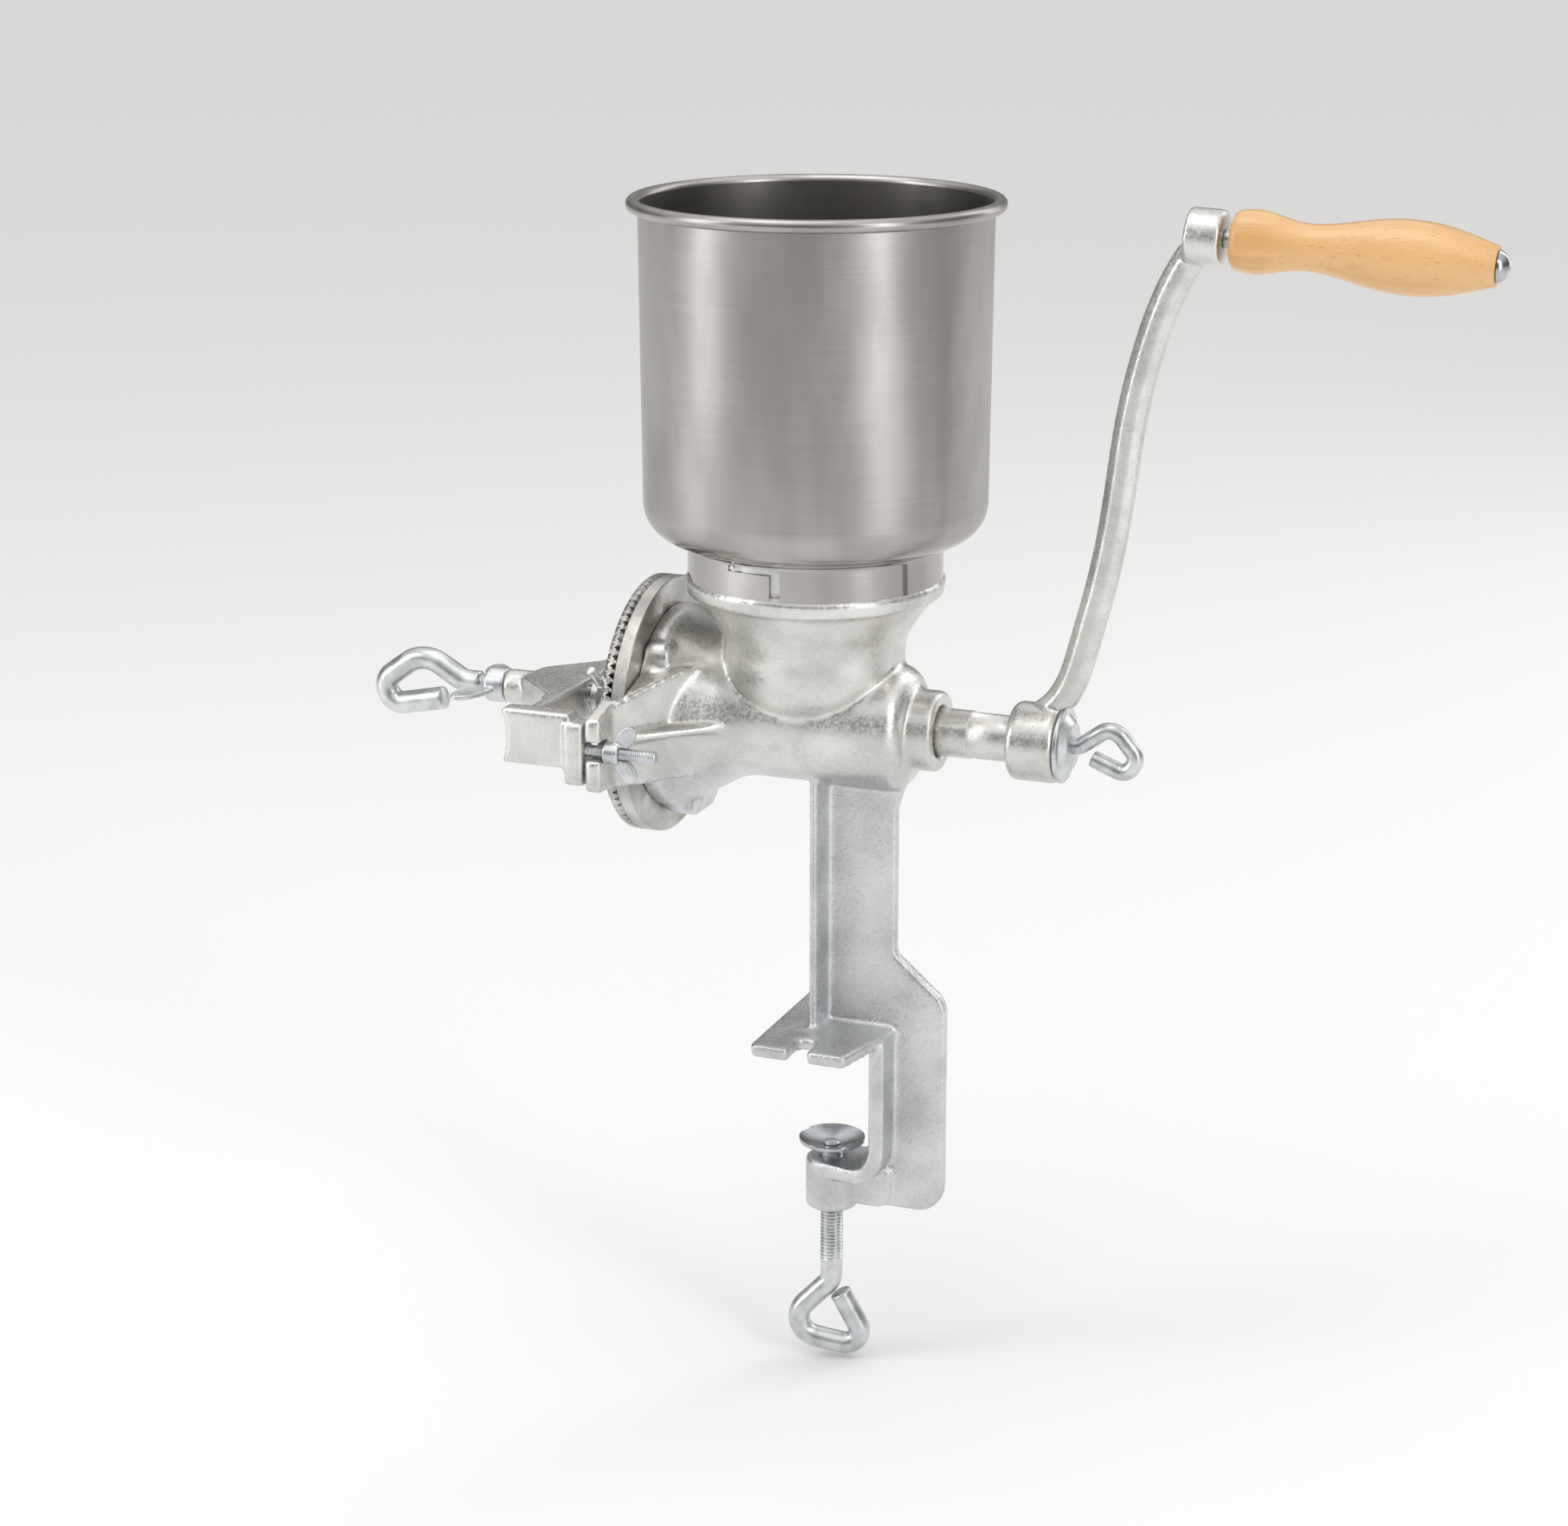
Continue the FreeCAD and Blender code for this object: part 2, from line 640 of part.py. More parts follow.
def bayonet_slots():
    """Two L-shaped slots: up from the neck's edge, then round to the lock."""
    half_lug = math.degrees(lug_length / 2 / neck_radius)
    start = lug_bearing - half_lug - 0.6
    entry = math.degrees(slot_entry / neck_radius)
    top = collar_z + slot_top + 0.2
    level = (start, lock_angle + entry, top - slot_height, top)
    way_in = (start + lock_angle, entry, collar_z - 1, top)
    cuts = []
    for bearing, sweep, low, high in (level, way_in):
        face = Part.Face(outline([
            (Vector(neck_radius - 3, 0, low), 0),
            (Vector(neck_radius + 3, 0, low), 0),
            (Vector(neck_radius + 3, 0, high), 0),
            (Vector(neck_radius - 3, 0, high), 0),
        ]))
        wedge = face.revolve(Vector(0, 0, 0), Vector(0, 0, 1), sweep)
        wedge.translate(Vector(hopper_axis_x, 0, 0))
        for half_turn in (0, 180):
            cuts.append(turned_about_hopper(wedge, bearing + half_turn))
    return cuts


# -------------------------------------------------------------------------- burrs
def face_grooves(face_x, into, inner, outer, count):
    """Radial V grooves cut into a burr's grinding face."""
    half = groove_depth
    groove = Part.Face(outline([
        (Vector(face_x - into * 0.5, -half * 1.4, shaft_height + inner), 0),
        (Vector(face_x - into * 0.5, half * 1.4, shaft_height + inner), 0),
        (Vector(face_x + into * groove_depth, 0, shaft_height + inner), 0),
    ])).extrude(Vector(0, 0, outer - inner))
    return [turned_about_shaft(groove, index * 360.0 / count) for index in range(count)]


def stationary_burr():
    """Fixed grinding ring, screwed to the bell."""
    ring = along_x(burr_radius, fixed_face_x, seat_x)
    rim_edges = [edge for edge in ring.Edges if edge.Length > 10]
    ring = ring.makeChamfer(0.4, rim_edges[:1])
    cuts = [along_x(chamber_radius + 0.5, fixed_face_x - 1, seat_x + 1)]
    for bearing in burr_screw_bearings:
        centre = shaft_circle_point(seat_x, burr_screw_circle, bearing)
        cuts.append(along_x(burr_screw_radius + screw_hole_clearance, fixed_face_x - 1, seat_x + 1,
                            centre.y, centre.z))
        mouth = burr_screw_radius * 2 + screw_head_sink + seat_clearance
        foot = burr_screw_radius + screw_hole_clearance
        apex = Vector(fixed_face_x, centre.y, centre.z)
        sink = Part.makeCone(mouth, foot, mouth - foot, apex, Vector(1, 0, 0))
        cuts.append(sink)
    cuts += face_grooves(fixed_face_x, 1, chamber_radius - 1, burr_radius - 7, groove_count)
    return ring.cut(cuts)


def burr_screws():
    """Countersunk screws through the fixed burr."""
    screws = []
    for bearing in burr_screw_bearings:
        centre = shaft_circle_point(seat_x, burr_screw_circle, bearing)
        shank = along_x(burr_screw_radius, fixed_face_x + 1.0, seat_x + 8, centre.y, centre.z)
        head = Part.makeCone(burr_screw_radius * 2, burr_screw_radius, burr_screw_radius,
                             Vector(fixed_face_x + screw_head_sink, centre.y, centre.z), Vector(1, 0, 0))
        slot = block(fixed_face_x, fixed_face_x + 1.1, centre.y - 5, centre.y + 5,
                     centre.z - 0.5, centre.z + 0.5)
        screws.append(joined([shank, head]).cut(slot))
    return Part.makeCompound(screws)


def rotating_burr():
    """Grinding disc with a hub that the drive pin bears on."""
    hub_end = nose_x + drive_pin_setback
    disc = along_x(burr_radius, turning_back_x, turning_face_x)
    hub = along_x(burr_hub_radius, hub_end, turning_back_x + 1)
    collar = Part.makeCone(burr_hub_radius + 1, burr_hub_radius + 9, 5,
                           Vector(turning_back_x - 4.5, 0, shaft_height), Vector(1, 0, 0))
    shape = joined([disc, hub, collar])
    notch = Part.Face(outline([
        (Vector(turning_face_x + 0.5, -1.75, shaft_height + burr_radius - 6), 0),
        (Vector(turning_face_x + 0.5, 1.75, shaft_height + burr_radius - 6), 0),
        (Vector(turning_face_x - edge_notch_depth, 0, shaft_height + burr_radius - 6), 0),
    ])).extrude(Vector(0, 0, 8))
    step = 360.0 / edge_notch_count
    cuts = [turned_about_shaft(notch, index * step) for index in range(edge_notch_count)]
    cuts += face_grooves(turning_face_x, -1, chamber_radius - 1, burr_radius - 7, groove_count)
    pin_bed = pin_cylinder(drive_pin_radius + seat_clearance, burr_hub_radius * 4)
    cuts += [along_x(worm_core_radius + seat_clearance, hub_end - 1, turning_face_x + 1), pin_bed]
    return shape.cut(cuts)


# -------------------------------------------------------------------------- rotor
def pin_cylinder(radius, length):
    """Cylinder across the shaft's nose, where the drive pin lies."""
    x = nose_x + drive_pin_setback
    angle = math.radians(drive_pin_bearing)
    heading = Vector(0, math.cos(angle), math.sin(angle))
    start = Vector(x, 0, shaft_height) - heading * (length / 2)
    return Part.makeCylinder(radius, length, start, heading)


def drive_pin():
    """Steel pin through the shaft that turns the burr."""
    pin = pin_cylinder(drive_pin_radius, drive_pin_length)
    return pin.makeChamfer(0.5, [edge for edge in pin.Edges if edge.Closed])


def worm_blade_solid(start_x, length):
    """Helical blade, left-handed, so that it carries grain towards the burrs."""
    inner = worm_core_radius - 1.5
    outer = chamber_radius - worm_clearance
    helix = Part.makeHelix(worm_pitch, length, inner, 0, True)
    half = worm_blade / 2
    section = outline([
        (Vector(inner, 0, -half), 0),
        (Vector(outer, 0, -half * 0.6), 0),
        (Vector(outer, 0, half * 0.6), 0),
        (Vector(inner, 0, half), 0),
    ])
    blade = Part.Wire(helix.Edges).makePipeShell([section], True, True)
    blade.rotate(Vector(0, 0, 0), Vector(0, 1, 0), 90)
    blade.translate(Vector(start_x, 0, shaft_height))
    return blade


def auger_shaft():
    """Cast shaft: nose, worm, journal and the square that the crank fits."""
    worm_end = barrel_reach - 7
    square = drive_square / 2
    core = spun_about_shaft([
        (nose_x, 0, 0),
        (nose_x, worm_core_radius, 0.6),
        (worm_end, worm_core_radius, 0),
        (worm_end, shaft_radius, 0),
        (shaft_step_reach, shaft_radius, 0.3),
        (shaft_step_reach, outer_shaft_radius, 0),
        (crank_hub_reach, outer_shaft_radius, 0.3),
        (crank_hub_reach, 0, 0),
    ])
    tail = block(crank_hub_reach - 1, crank_hub_reach + crank_hub_length - 0.5, -square, square,
                 shaft_height - square, shaft_height + square)
    tail = tail.common(along_x(square * 1.25, crank_hub_reach - 1, crank_hub_reach + crank_hub_length))
    blade_start = fixed_face_x + 4
    blade = worm_blade_solid(blade_start, worm_end - 4 - blade_start)
    shape = joined([core, tail]).fuse(blade)
    socket = Part.makeSphere(ball_radius + seat_clearance, Vector(ball_x, 0, shaft_height))
    thread = along_x(crank_screw_radius + running_clearance, crank_hub_reach - 12,
                     crank_hub_reach + crank_hub_length + 1)
    cuts = [socket, thread, pin_cylinder(drive_pin_radius + seat_clearance, 4 * worm_core_radius)]
    return shape.cut(cuts)


def thrust_ball():
    """Loose steel ball between the shaft and the adjusting screw."""
    return Part.makeSphere(ball_radius, Vector(ball_x, 0, shaft_height))


# -------------------------------------------------------------- crank and handle
def crank_arm():
    """Cast crank: hub, S-shaped arm and the eye for the handle's spindle."""
    hub_mid = crank_hub_reach + crank_hub_length * 0.5
    hub = along_x(crank_hub_radius, crank_hub_reach, crank_hub_reach + crank_hub_length)
    hub = hub.makeFillet(crank_hub_round, [edge for edge in hub.Edges if edge.Closed])
    rise = crank_radius
    offset = handle_reach - hub_mid
    points = [Vector(hub_mid + offset * out, 0, shaft_height + rise * up) for out, up in crank_stations]
    curve = Part.BSplineCurve()
    curve.interpolate(points)
    spine = Part.Wire(curve.toShape())
    start = points[0]
    tangent = curve.tangent(curve.FirstParameter)[0]
    lateral = tangent.cross(Vector(0, 1, 0)).normalize()
    half_width = crank_arm_width / 2
    half_thick = crank_arm_thickness / 2
    flat = crank_arm_flat
    eight = [(-1, -flat), (-flat, -1), (flat, -1), (1, -flat), (1, flat), (flat, 1), (-flat, 1), (-1, flat)]
    section = outline([
        (start + lateral * (u * half_width) + Vector(0, v * half_thick, 0), crank_arm_round) for u, v in eight
    ])
    sweep = Part.BRepOffsetAPI.MakePipeShell(spine)
    sweep.setBiNormalMode(Vector(0, 1, 0))
    sweep.add(section)
    sweep.build()
    sweep.makeSolid()
    arm = sweep.shape()
    eye_start = Vector(-eye_thickness / 2, 0, 0)
    eye = Part.makeCylinder(eye_radius, eye_thickness, eye_start, Vector(1, 0, 0))
    eye = eye.makeFillet(1.2, [edge for edge in eye.Edges if edge.Closed])
    eye = placed_on_handle(eye)
    shape = joined([hub, arm, eye])
    square = drive_square / 2 + seat_clearance
    key = block(crank_hub_reach - 1, crank_hub_reach + crank_hub_length + 1, -square, square,
                shaft_height - square, shaft_height + square)
    key = key.common(along_x((drive_square / 2) * 1.25 + seat_clearance, crank_hub_reach - 1,
                             crank_hub_reach + crank_hub_length + 1))
    bore = Part.makeCylinder(spindle_radius + seat_clearance, eye_thickness * 2,
                             Vector(-eye_thickness, 0, 0), Vector(1, 0, 0))
    washer_face = crank_hub_reach + crank_hub_length
    recess = along_x(washer_radius + body_gap, washer_face, washer_face + washer_crown + 1)
    return shape.cut([key, placed_on_handle(bore), recess])


def placed_on_handle(shape):
    """Moves a shape made along X about the origin onto the handle's axis."""
    copy = shape.copy()
    copy.rotate(Vector(0, 0, 0), Vector(0, 1, 0), handle_droop)
    copy.translate(Vector(handle_reach, 0, handle_z))
    return copy


def handle_spindle():
    """Long bolt through the grip, with a domed head at the outer end."""
    grip_start = eye_thickness / 2 + grip_gap
    grip_end = grip_start + grip_length
    rod = Part.makeCylinder(spindle_radius, grip_end + eye_thickness / 2 + 1.5,
                            Vector(-eye_thickness / 2 - 1.0, 0, 0), Vector(1, 0, 0))
    ball = (dome_radius ** 2 + dome_height ** 2) / (2 * dome_height)
    dome = Part.makeSphere(ball, Vector(grip_end + body_gap + dome_height - ball, 0, 0))
    dome_start = Vector(grip_end + body_gap, 0, 0)
    keep = Part.makeCylinder(dome_radius, dome_height + 1, dome_start, Vector(1, 0, 0))
    return placed_on_handle(joined([rod, dome.common(keep)]))


def handle_grip():
    """Turned wooden grip that spins on the spindle."""
    start = eye_thickness / 2 + grip_gap
    curve = Part.BSplineCurve()
    curve.interpolate([Vector(start + grip_length * along, 0, radius) for along, radius in grip_stations])
    first = Vector(start + grip_length * grip_stations[0][0], 0, grip_stations[0][1])
    last = Vector(start + grip_length, 0, grip_stations[-1][1])
    bore = spindle_radius + running_clearance
    edges = [
        Part.Arc(Vector(start, 0, grip_end_face), Vector(start + 0.8, 0, grip_end_face + 2.2), first).toShape(),
        curve.toShape(),
        Part.LineSegment(last, Vector(start + grip_length, 0, bore)).toShape(),
        Part.LineSegment(Vector(start + grip_length, 0, bore), Vector(start, 0, bore)).toShape(),
        Part.LineSegment(Vector(start, 0, bore), Vector(start, 0, grip_end_face)).toShape(),
    ]
    face = Part.Face(Part.Wire(edges))
    return placed_on_handle(face.revolve(Vector(0, 0, 0), Vector(1, 0, 0), 360))


def crank_washer():
    """Crowned washer that holds the crank on the square."""
    face_x = crank_hub_reach + crank_hub_length
    bore = crank_screw_radius + running_clearance
    return spun_about_shaft([
        (face_x, bore, 0),
        (face_x, washer_radius, 0.3),
        (face_x + washer_rim, washer_radius, 0.6),
        (face_x + washer_rim, washer_crown_radius + 2, 0.8),
        (face_x + washer_crown, washer_crown_radius - 1, 1.2),
        (face_x + washer_crown, bore, 0),
    ])


def crank_screw():
    """Finger screw that holds the crank on the shaft."""
    neck = Vector(crank_hub_reach + crank_hub_length + washer_crown + crank_screw_neck, 0, shaft_height)
    start = neck - Vector(0.5, 0, 0)
    loop = bent_rod(start, neck, Vector(1, 0, 0), Vector(0, 0, 1), crank_loop, crank_screw_radius)
    thread = along_x(crank_screw_radius, crank_hub_reach - 8, neck.x)
    return joined([thread, loop])


# ----------------------------------------------------------------- yoke and bolts
def yoke():
    """Bridge over the burrs: bar, boss for the adjusting screw, arms and ears."""
    bar_outer_x = -bar_inner_reach - bar_thickness
    low = shaft_height - arm_rise + 2
    high = shaft_height + arm_rise
    bar_high = high - bar_saddle
    inner_y = arm_outer - arm_thickness
    bar = slab("z", [
        (-bar_inner_reach, -inner_y - 2, 0),
        (-bar_inner_reach, inner_y + 2, 0),
        (bar_outer_x, arm_outer, 1.5),
        (bar_outer_x, yoke_gusset_half, 8.0),
        (-yoke_gusset_reach, yoke_boss_radius, 0),
        (-yoke_gusset_reach, -yoke_boss_radius, 0),
        (bar_outer_x, -yoke_gusset_half, 8.0),
        (bar_outer_x, -arm_outer, 1.5),
    ], low, bar_high)
    gusset_cut = slab("y", [
        (bar_outer_x - 1, high + 1, 0),
        (-yoke_boss_end, high + 1, 0),
        (-yoke_boss_end, shaft_height + yoke_boss_radius - 1.5, 0),
        (-yoke_gusset_reach, shaft_height + yoke_boss_radius - 1, 0),
    ], -arm_outer, arm_outer)
    bar = bar.cut(gusset_cut)
    boss = along_x(yoke_boss_radius, -yoke_boss_end, -bar_inner_reach)
    boss = boss.makeChamfer(0.6, boss.Edges[:1])
    ear_low = slot_z - ear_drop + 2
    ear_high = slot_z + ear_rise - 2
    sides = []
    for sign in (-1, 1):
        arm_plan = [
            (bar_outer_x, sign * arm_outer, 1.5),
            (yoke_face_x - yoke_ear_thickness + 2, sign * arm_outer, 0),
            (yoke_face_x - yoke_ear_thickness + 2, sign * inner_y, 0),
            (bar_outer_x, sign * inner_y, 0),
        ]
        sides.append(slab("z", arm_plan, low, high))
        ear_outer = sign * (arm_outer + yoke_ear_proud)
        ear_inner = sign * inner_y
        ear = block(yoke_face_x - yoke_ear_thickness, yoke_face_x, min(ear_outer, ear_inner),
                    max(ear_outer, ear_inner), ear_low, ear_high)
        edges = [edge for edge in ear.Edges if abs(edge.CenterOfMass.y - ear_outer) < 0.1]
        sides.append(ear.makeFillet(1.8, edges))
    shape = joined([bar, boss] + sides)
    dish_radius = (arm_rise ** 2 + bar_dish ** 2) / (2 * bar_dish)
    cuts = []
    for sign in (-1, 1):
        start = sign * (yoke_gusset_half + 6)
        dish_middle = Vector(bar_outer_x + bar_dish - dish_radius, start, shaft_height + 0.5)
        cuts.append(Part.makeCylinder(dish_radius, arm_outer, dish_middle, Vector(0, sign, 0)))
        bolt_hole = along_x(bolt_radius + seat_clearance, -bar_inner_reach + 4, yoke_face_x + 1,
                            sign * bolt_y, bolt_z)
        cuts.append(bolt_hole)
        pocket_y = sign * (bolt_y + bolt_radius + bolt_head_margin + 0.2)
        mouth_y = sign * (inner_y - 1)
        head_x = yoke_face_x - yoke_ear_thickness
        pocket_half = bolt_head_half + pocket_clearance
        pocket = block(head_x - bolt_head - pocket_clearance, head_x, min(pocket_y, mouth_y),
                       max(pocket_y, mouth_y), bolt_z - pocket_half, bolt_z + pocket_half)
        cuts.append(pocket)
    adjust_bore = adjust_thread_radius + running_clearance
    cuts.append(along_x(adjust_bore, -yoke_boss_end - 1, -bar_inner_reach + 1))
    return shape.cut(cuts).removeSplitter()


def t_bolt(sign):
    """Bolt with a bar head held in the yoke's arm."""
    head_x = yoke_face_x - yoke_ear_thickness
    inner_y = sign * (arm_outer - arm_thickness)
    outer_y = sign * (bolt_y + bolt_radius + bolt_head_margin)
    shank = along_x(bolt_radius, head_x - bolt_head + 0.2, bolt_end_x, sign * bolt_y, bolt_z)
    tail_edges = [edge for edge in shank.Edges if edge.Closed and edge.CenterOfMass.x > head_x]
    shank = shank.makeChamfer(0.5, tail_edges)
    head = block(head_x - bolt_head, head_x - 0.1, min(inner_y, outer_y), max(inner_y, outer_y),
                 bolt_z - bolt_head_half, bolt_z + bolt_head_half)
    return joined([shank, head])


def ear_wing_nut(sign):
    """Small wing nut that pulls the yoke against the mill's ear."""
    start = ear_face_x + wing_thickness + 0.1
    nut = wing_pair(start, sign * bolt_y, bolt_z, ear_nut_radius, ear_nut_length, ear_wing_length,
                    ear_wing_height, 1, ear_wing_sweep)
    bore = along_x(bolt_radius + running_clearance, start - 1, start + 20, sign * bolt_y, bolt_z)
    return nut.cut(bore)


def lock_wing_nut():
    """Wing nut that locks the adjusting screw against the yoke's boss."""
    start = -yoke_boss_end - 0.1
    nut = wing_pair(start, 0, shaft_height, lock_nut_radius, lock_nut_length, lock_wing_length,
                    lock_wing_height, -1, lock_wing_sweep)
    nut = nut.cut(along_x(adjust_thread_radius + running_clearance, start - 40, start + 1))
    nut.rotate(Vector(0, 0, shaft_height), Vector(1, 0, 0), lock_nut_turn)
    return nut


def adjusting_screw():
    """Finger screw that sets the gap between the burrs, with a drooping loop."""
    tip_x = screw_tip_x - 0.05
    neck = Vector(-adjust_neck_reach, 0, shaft_height)
    start = neck + Vector(6, 0, 0)
    loop = bent_rod(start, neck, Vector(-1, 0, 0), Vector(0, 0, 1), adjust_loop, adjust_rod_radius)
    thread = along_x(adjust_thread_radius, start.x - 0.5, tip_x)
    return joined([thread, loop])


# ------------------------------------------------------------------- table clamp
def clamp_screw():
    """Long finger screw below the table."""
    cup_base = -jaw_opening + cup_rise - cup_depth - cup_sheet
    bearing = math.radians(clamp_loop_bearing)
    side = Vector(-math.cos(bearing), -math.sin(bearing), 0)
    neck = Vector(0, 0, -clamp_neck_drop)
    start = neck + Vector(0, 0, 8)
    loop = bent_rod(start, neck, Vector(0, 0, -1), side, clamp_loop, clamp_rod_radius)
    thread = along_z(clamp_thread_radius, -clamp_neck_drop + 7, cup_base - 1.2)
    rivet_base = cup_base + cup_sheet + rivet_lift
    stud = along_z(stud_radius, cup_base - 2, rivet_base + 0.2)
    rivet = Part.makeCone(3.6, 2.4, 1.2, Vector(0, 0, rivet_base))
    return joined([thread, loop, stud, rivet])


def clamp_cup():
    """Dished pad that swivels on the screw's end."""
    base = -jaw_opening + cup_rise - cup_depth - cup_sheet
    depth = cup_depth
    ball = (cup_radius ** 2 + depth ** 2) / (2 * depth)
    rim = base + cup_sheet + depth
    outer = Part.makeSphere(ball + cup_sheet, Vector(0, 0, rim - depth + ball))
    inner = Part.makeSphere(ball, Vector(0, 0, rim - depth + ball))
    keep = along_z(cup_radius, base - 1, rim)
    dish = outer.cut(inner).common(keep)
    return dish.cut(along_z(stud_radius + running_clearance, base - 1, rim))


nodes = {
    "mill_body": mill_body(),
    "hopper": hopper(),
    "stationary_burr": stationary_burr(),
    "burr_screws": burr_screws(),
    "rotating_burr": rotating_burr(),
    "drive_pin": drive_pin(),
    "auger_shaft": auger_shaft(),
    "thrust_ball": thrust_ball(),
    "crank_arm": crank_arm(),
    "crank_washer": crank_washer(),
    "crank_screw": crank_screw(),
    "handle_spindle": handle_spindle(),
    "handle_grip": handle_grip(),
    "yoke": yoke(),
    "t_bolt_near": t_bolt(-1),
    "t_bolt_far": t_bolt(1),
    "wing_nut_near": ear_wing_nut(-1),
    "wing_nut_far": ear_wing_nut(1),
    "lock_wing_nut": lock_wing_nut(),
    "adjusting_screw": adjusting_screw(),
    "clamp_screw": clamp_screw(),
    "clamp_cup": clamp_cup(),
}

os.makedirs("parts", exist_ok=True)
for name, shape in nodes.items():
    shape.exportStep("parts/" + name + ".step")
    box = shape.BoundBox
    limits = (box.XMin, box.XMax, box.YMin, box.YMax, box.ZMin, box.ZMax)
    print(name, shape.isValid(), len(shape.Solids), round(shape.Volume), [round(limit, 1) for limit in limits])
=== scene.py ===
"""Hand-cranked grain mill with a steel hopper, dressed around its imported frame.

Lengths in the dataclasses are millimetres, as a maker would write them, and are
turned into metres where a mesh is written.  +X runs along the shaft to the crank.
"""
import logging
import math
from dataclasses import dataclass, field
from enum import Enum

import bmesh
import bpy
import numpy as np
from mathutils import Euler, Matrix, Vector


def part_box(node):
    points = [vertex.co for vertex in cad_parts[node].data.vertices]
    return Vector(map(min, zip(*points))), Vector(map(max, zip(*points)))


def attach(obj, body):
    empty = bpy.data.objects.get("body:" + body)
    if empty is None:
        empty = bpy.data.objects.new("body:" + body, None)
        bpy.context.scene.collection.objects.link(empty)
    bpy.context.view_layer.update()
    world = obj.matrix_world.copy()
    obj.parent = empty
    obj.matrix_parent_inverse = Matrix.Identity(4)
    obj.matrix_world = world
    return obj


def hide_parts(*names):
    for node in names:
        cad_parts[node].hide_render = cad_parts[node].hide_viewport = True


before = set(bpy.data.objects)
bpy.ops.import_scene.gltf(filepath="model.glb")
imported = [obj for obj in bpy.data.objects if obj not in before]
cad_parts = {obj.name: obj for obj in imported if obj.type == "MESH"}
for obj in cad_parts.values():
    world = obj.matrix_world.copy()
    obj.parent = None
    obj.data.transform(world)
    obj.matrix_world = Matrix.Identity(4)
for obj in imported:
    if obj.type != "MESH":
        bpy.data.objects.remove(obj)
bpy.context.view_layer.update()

log = logging.getLogger("grain_mill")
MM = 0.001
Corner = tuple[float, float, float]


class Slot(Enum):
    """Names of the record's finishes."""

    IRON = "tinned_iron"
    BURR = "burr_iron"
    STAINLESS = "stainless"
    ZINC = "zinc_steel"
    POLISHED = "polished_steel"
    WOOD = "lacquered_wood"


# ------------------------------------------------------------------ shader maths
class Signal:
    """One output socket, on which Python arithmetic adds Math nodes."""

    def __init__(self, graph: "Graph", socket: bpy.types.NodeSocket) -> None:
        """Wraps a socket of a graph."""
        self.graph = graph
        self.socket = socket

    def __add__(self, other: "Signal | float") -> "Signal":
        """Sum."""
        return self.graph.math("ADD", self, other)

    __radd__ = __add__

    def __mul__(self, other: "Signal | float") -> "Signal":
        """Product."""
        return self.graph.math("MULTIPLY", self, other)

    __rmul__ = __mul__

    def __rsub__(self, other: float) -> "Signal":
        """Difference, with the number first."""
        return self.graph.math("SUBTRACT", other, self)


class Graph:
    """A material's node tree, with one way to add a node."""

    def __init__(self, name: str) -> None:
        """Starts a material with a Principled shader."""
        self.material = bpy.data.materials.new(name)
        self.material.use_nodes = True
        self.tree = self.material.node_tree
        self.shader = self.tree.nodes["Principled BSDF"]

    def put(self, socket: bpy.types.NodeSocket, value: object) -> None:
        """Links a signal to a socket, or sets the socket to a value."""
        if isinstance(value, Signal):
            self.tree.links.new(value.socket, socket)
        else:
            socket.default_value = value

    def node(self, kind: str, settings: dict | None = None, inputs: dict | None = None,
             out: int | str = 0) -> Signal:
        """Adds a node.

        Args:
            kind: The node's type name.
            settings: Attributes set before the sockets; "stops" fills a colour ramp.
            inputs: Socket names or numbers to values or signals.
            out: The output socket wanted.

        Returns:
            That output as a signal.
        """
        made = self.tree.nodes.new(kind)
        for key, value in (settings or {}).items():
            if key == "stops":
                ramp = made.color_ramp.elements
                while len(ramp) < len(value):
                    ramp.new(0.5)
                for element, (at, colour) in zip(ramp, value):
                    element.position = at
                    element.color = (*colour, 1.0)
            else:
                setattr(made, key, value)
        for key, value in (inputs or {}).items():
            self.put(made.inputs[key], value)
        return Signal(self, made.outputs[out])

    def math(self, operation: str, first: "Signal | float", second: "Signal | float") -> Signal:
        """One Math node on two values."""
        return self.node("ShaderNodeMath", {"operation": operation}, {0: first, 1: second})

    def mix(self, factor: "Signal | float", low: object, high: object) -> Signal:
        """Colour between low and high."""
        return self.node("ShaderNodeMix", {"data_type": "RGBA"}, {0: factor, 6: low, 7: high}, 2)

    def span(self, value: Signal, low: float, high: float) -> Signal:
        """0 below low, 1 above high, smooth between."""
        return self.node("ShaderNodeMapRange", {"interpolation_type": "SMOOTHSTEP"},
                         {"Value": value, "From Min": low, "From Max": high})

    def place(self, scale: tuple = (1, 1, 1), turn: tuple = (0, 0, 0)) -> Signal:
        """Object coordinates, turned and stretched."""
        where = self.node("ShaderNodeTexCoord", out="Object")
        return self.node("ShaderNodeMapping", {}, {"Vector": where, "Scale": scale, "Rotation": turn})

    def noise(self, where: Signal, scale: float, detail: float = 3.0, rough: float = 0.5) -> Signal:
        """Fractal noise, about 0.5."""
        return self.node("ShaderNodeTexNoise", {},
                         {"Vector": where, "Scale": scale, "Detail": detail, "Roughness": rough})

    def bump(self, height: Signal, depth_mm: float, under: "Signal | None" = None) -> Signal:
        """Normal raised by a height of depth_mm where it is 1."""
        inputs = {"Height": height, "Distance": depth_mm * MM, "Strength": 1.0}
        if under is not None:
            inputs["Normal"] = under
        return self.node("ShaderNodeBump", {}, inputs)


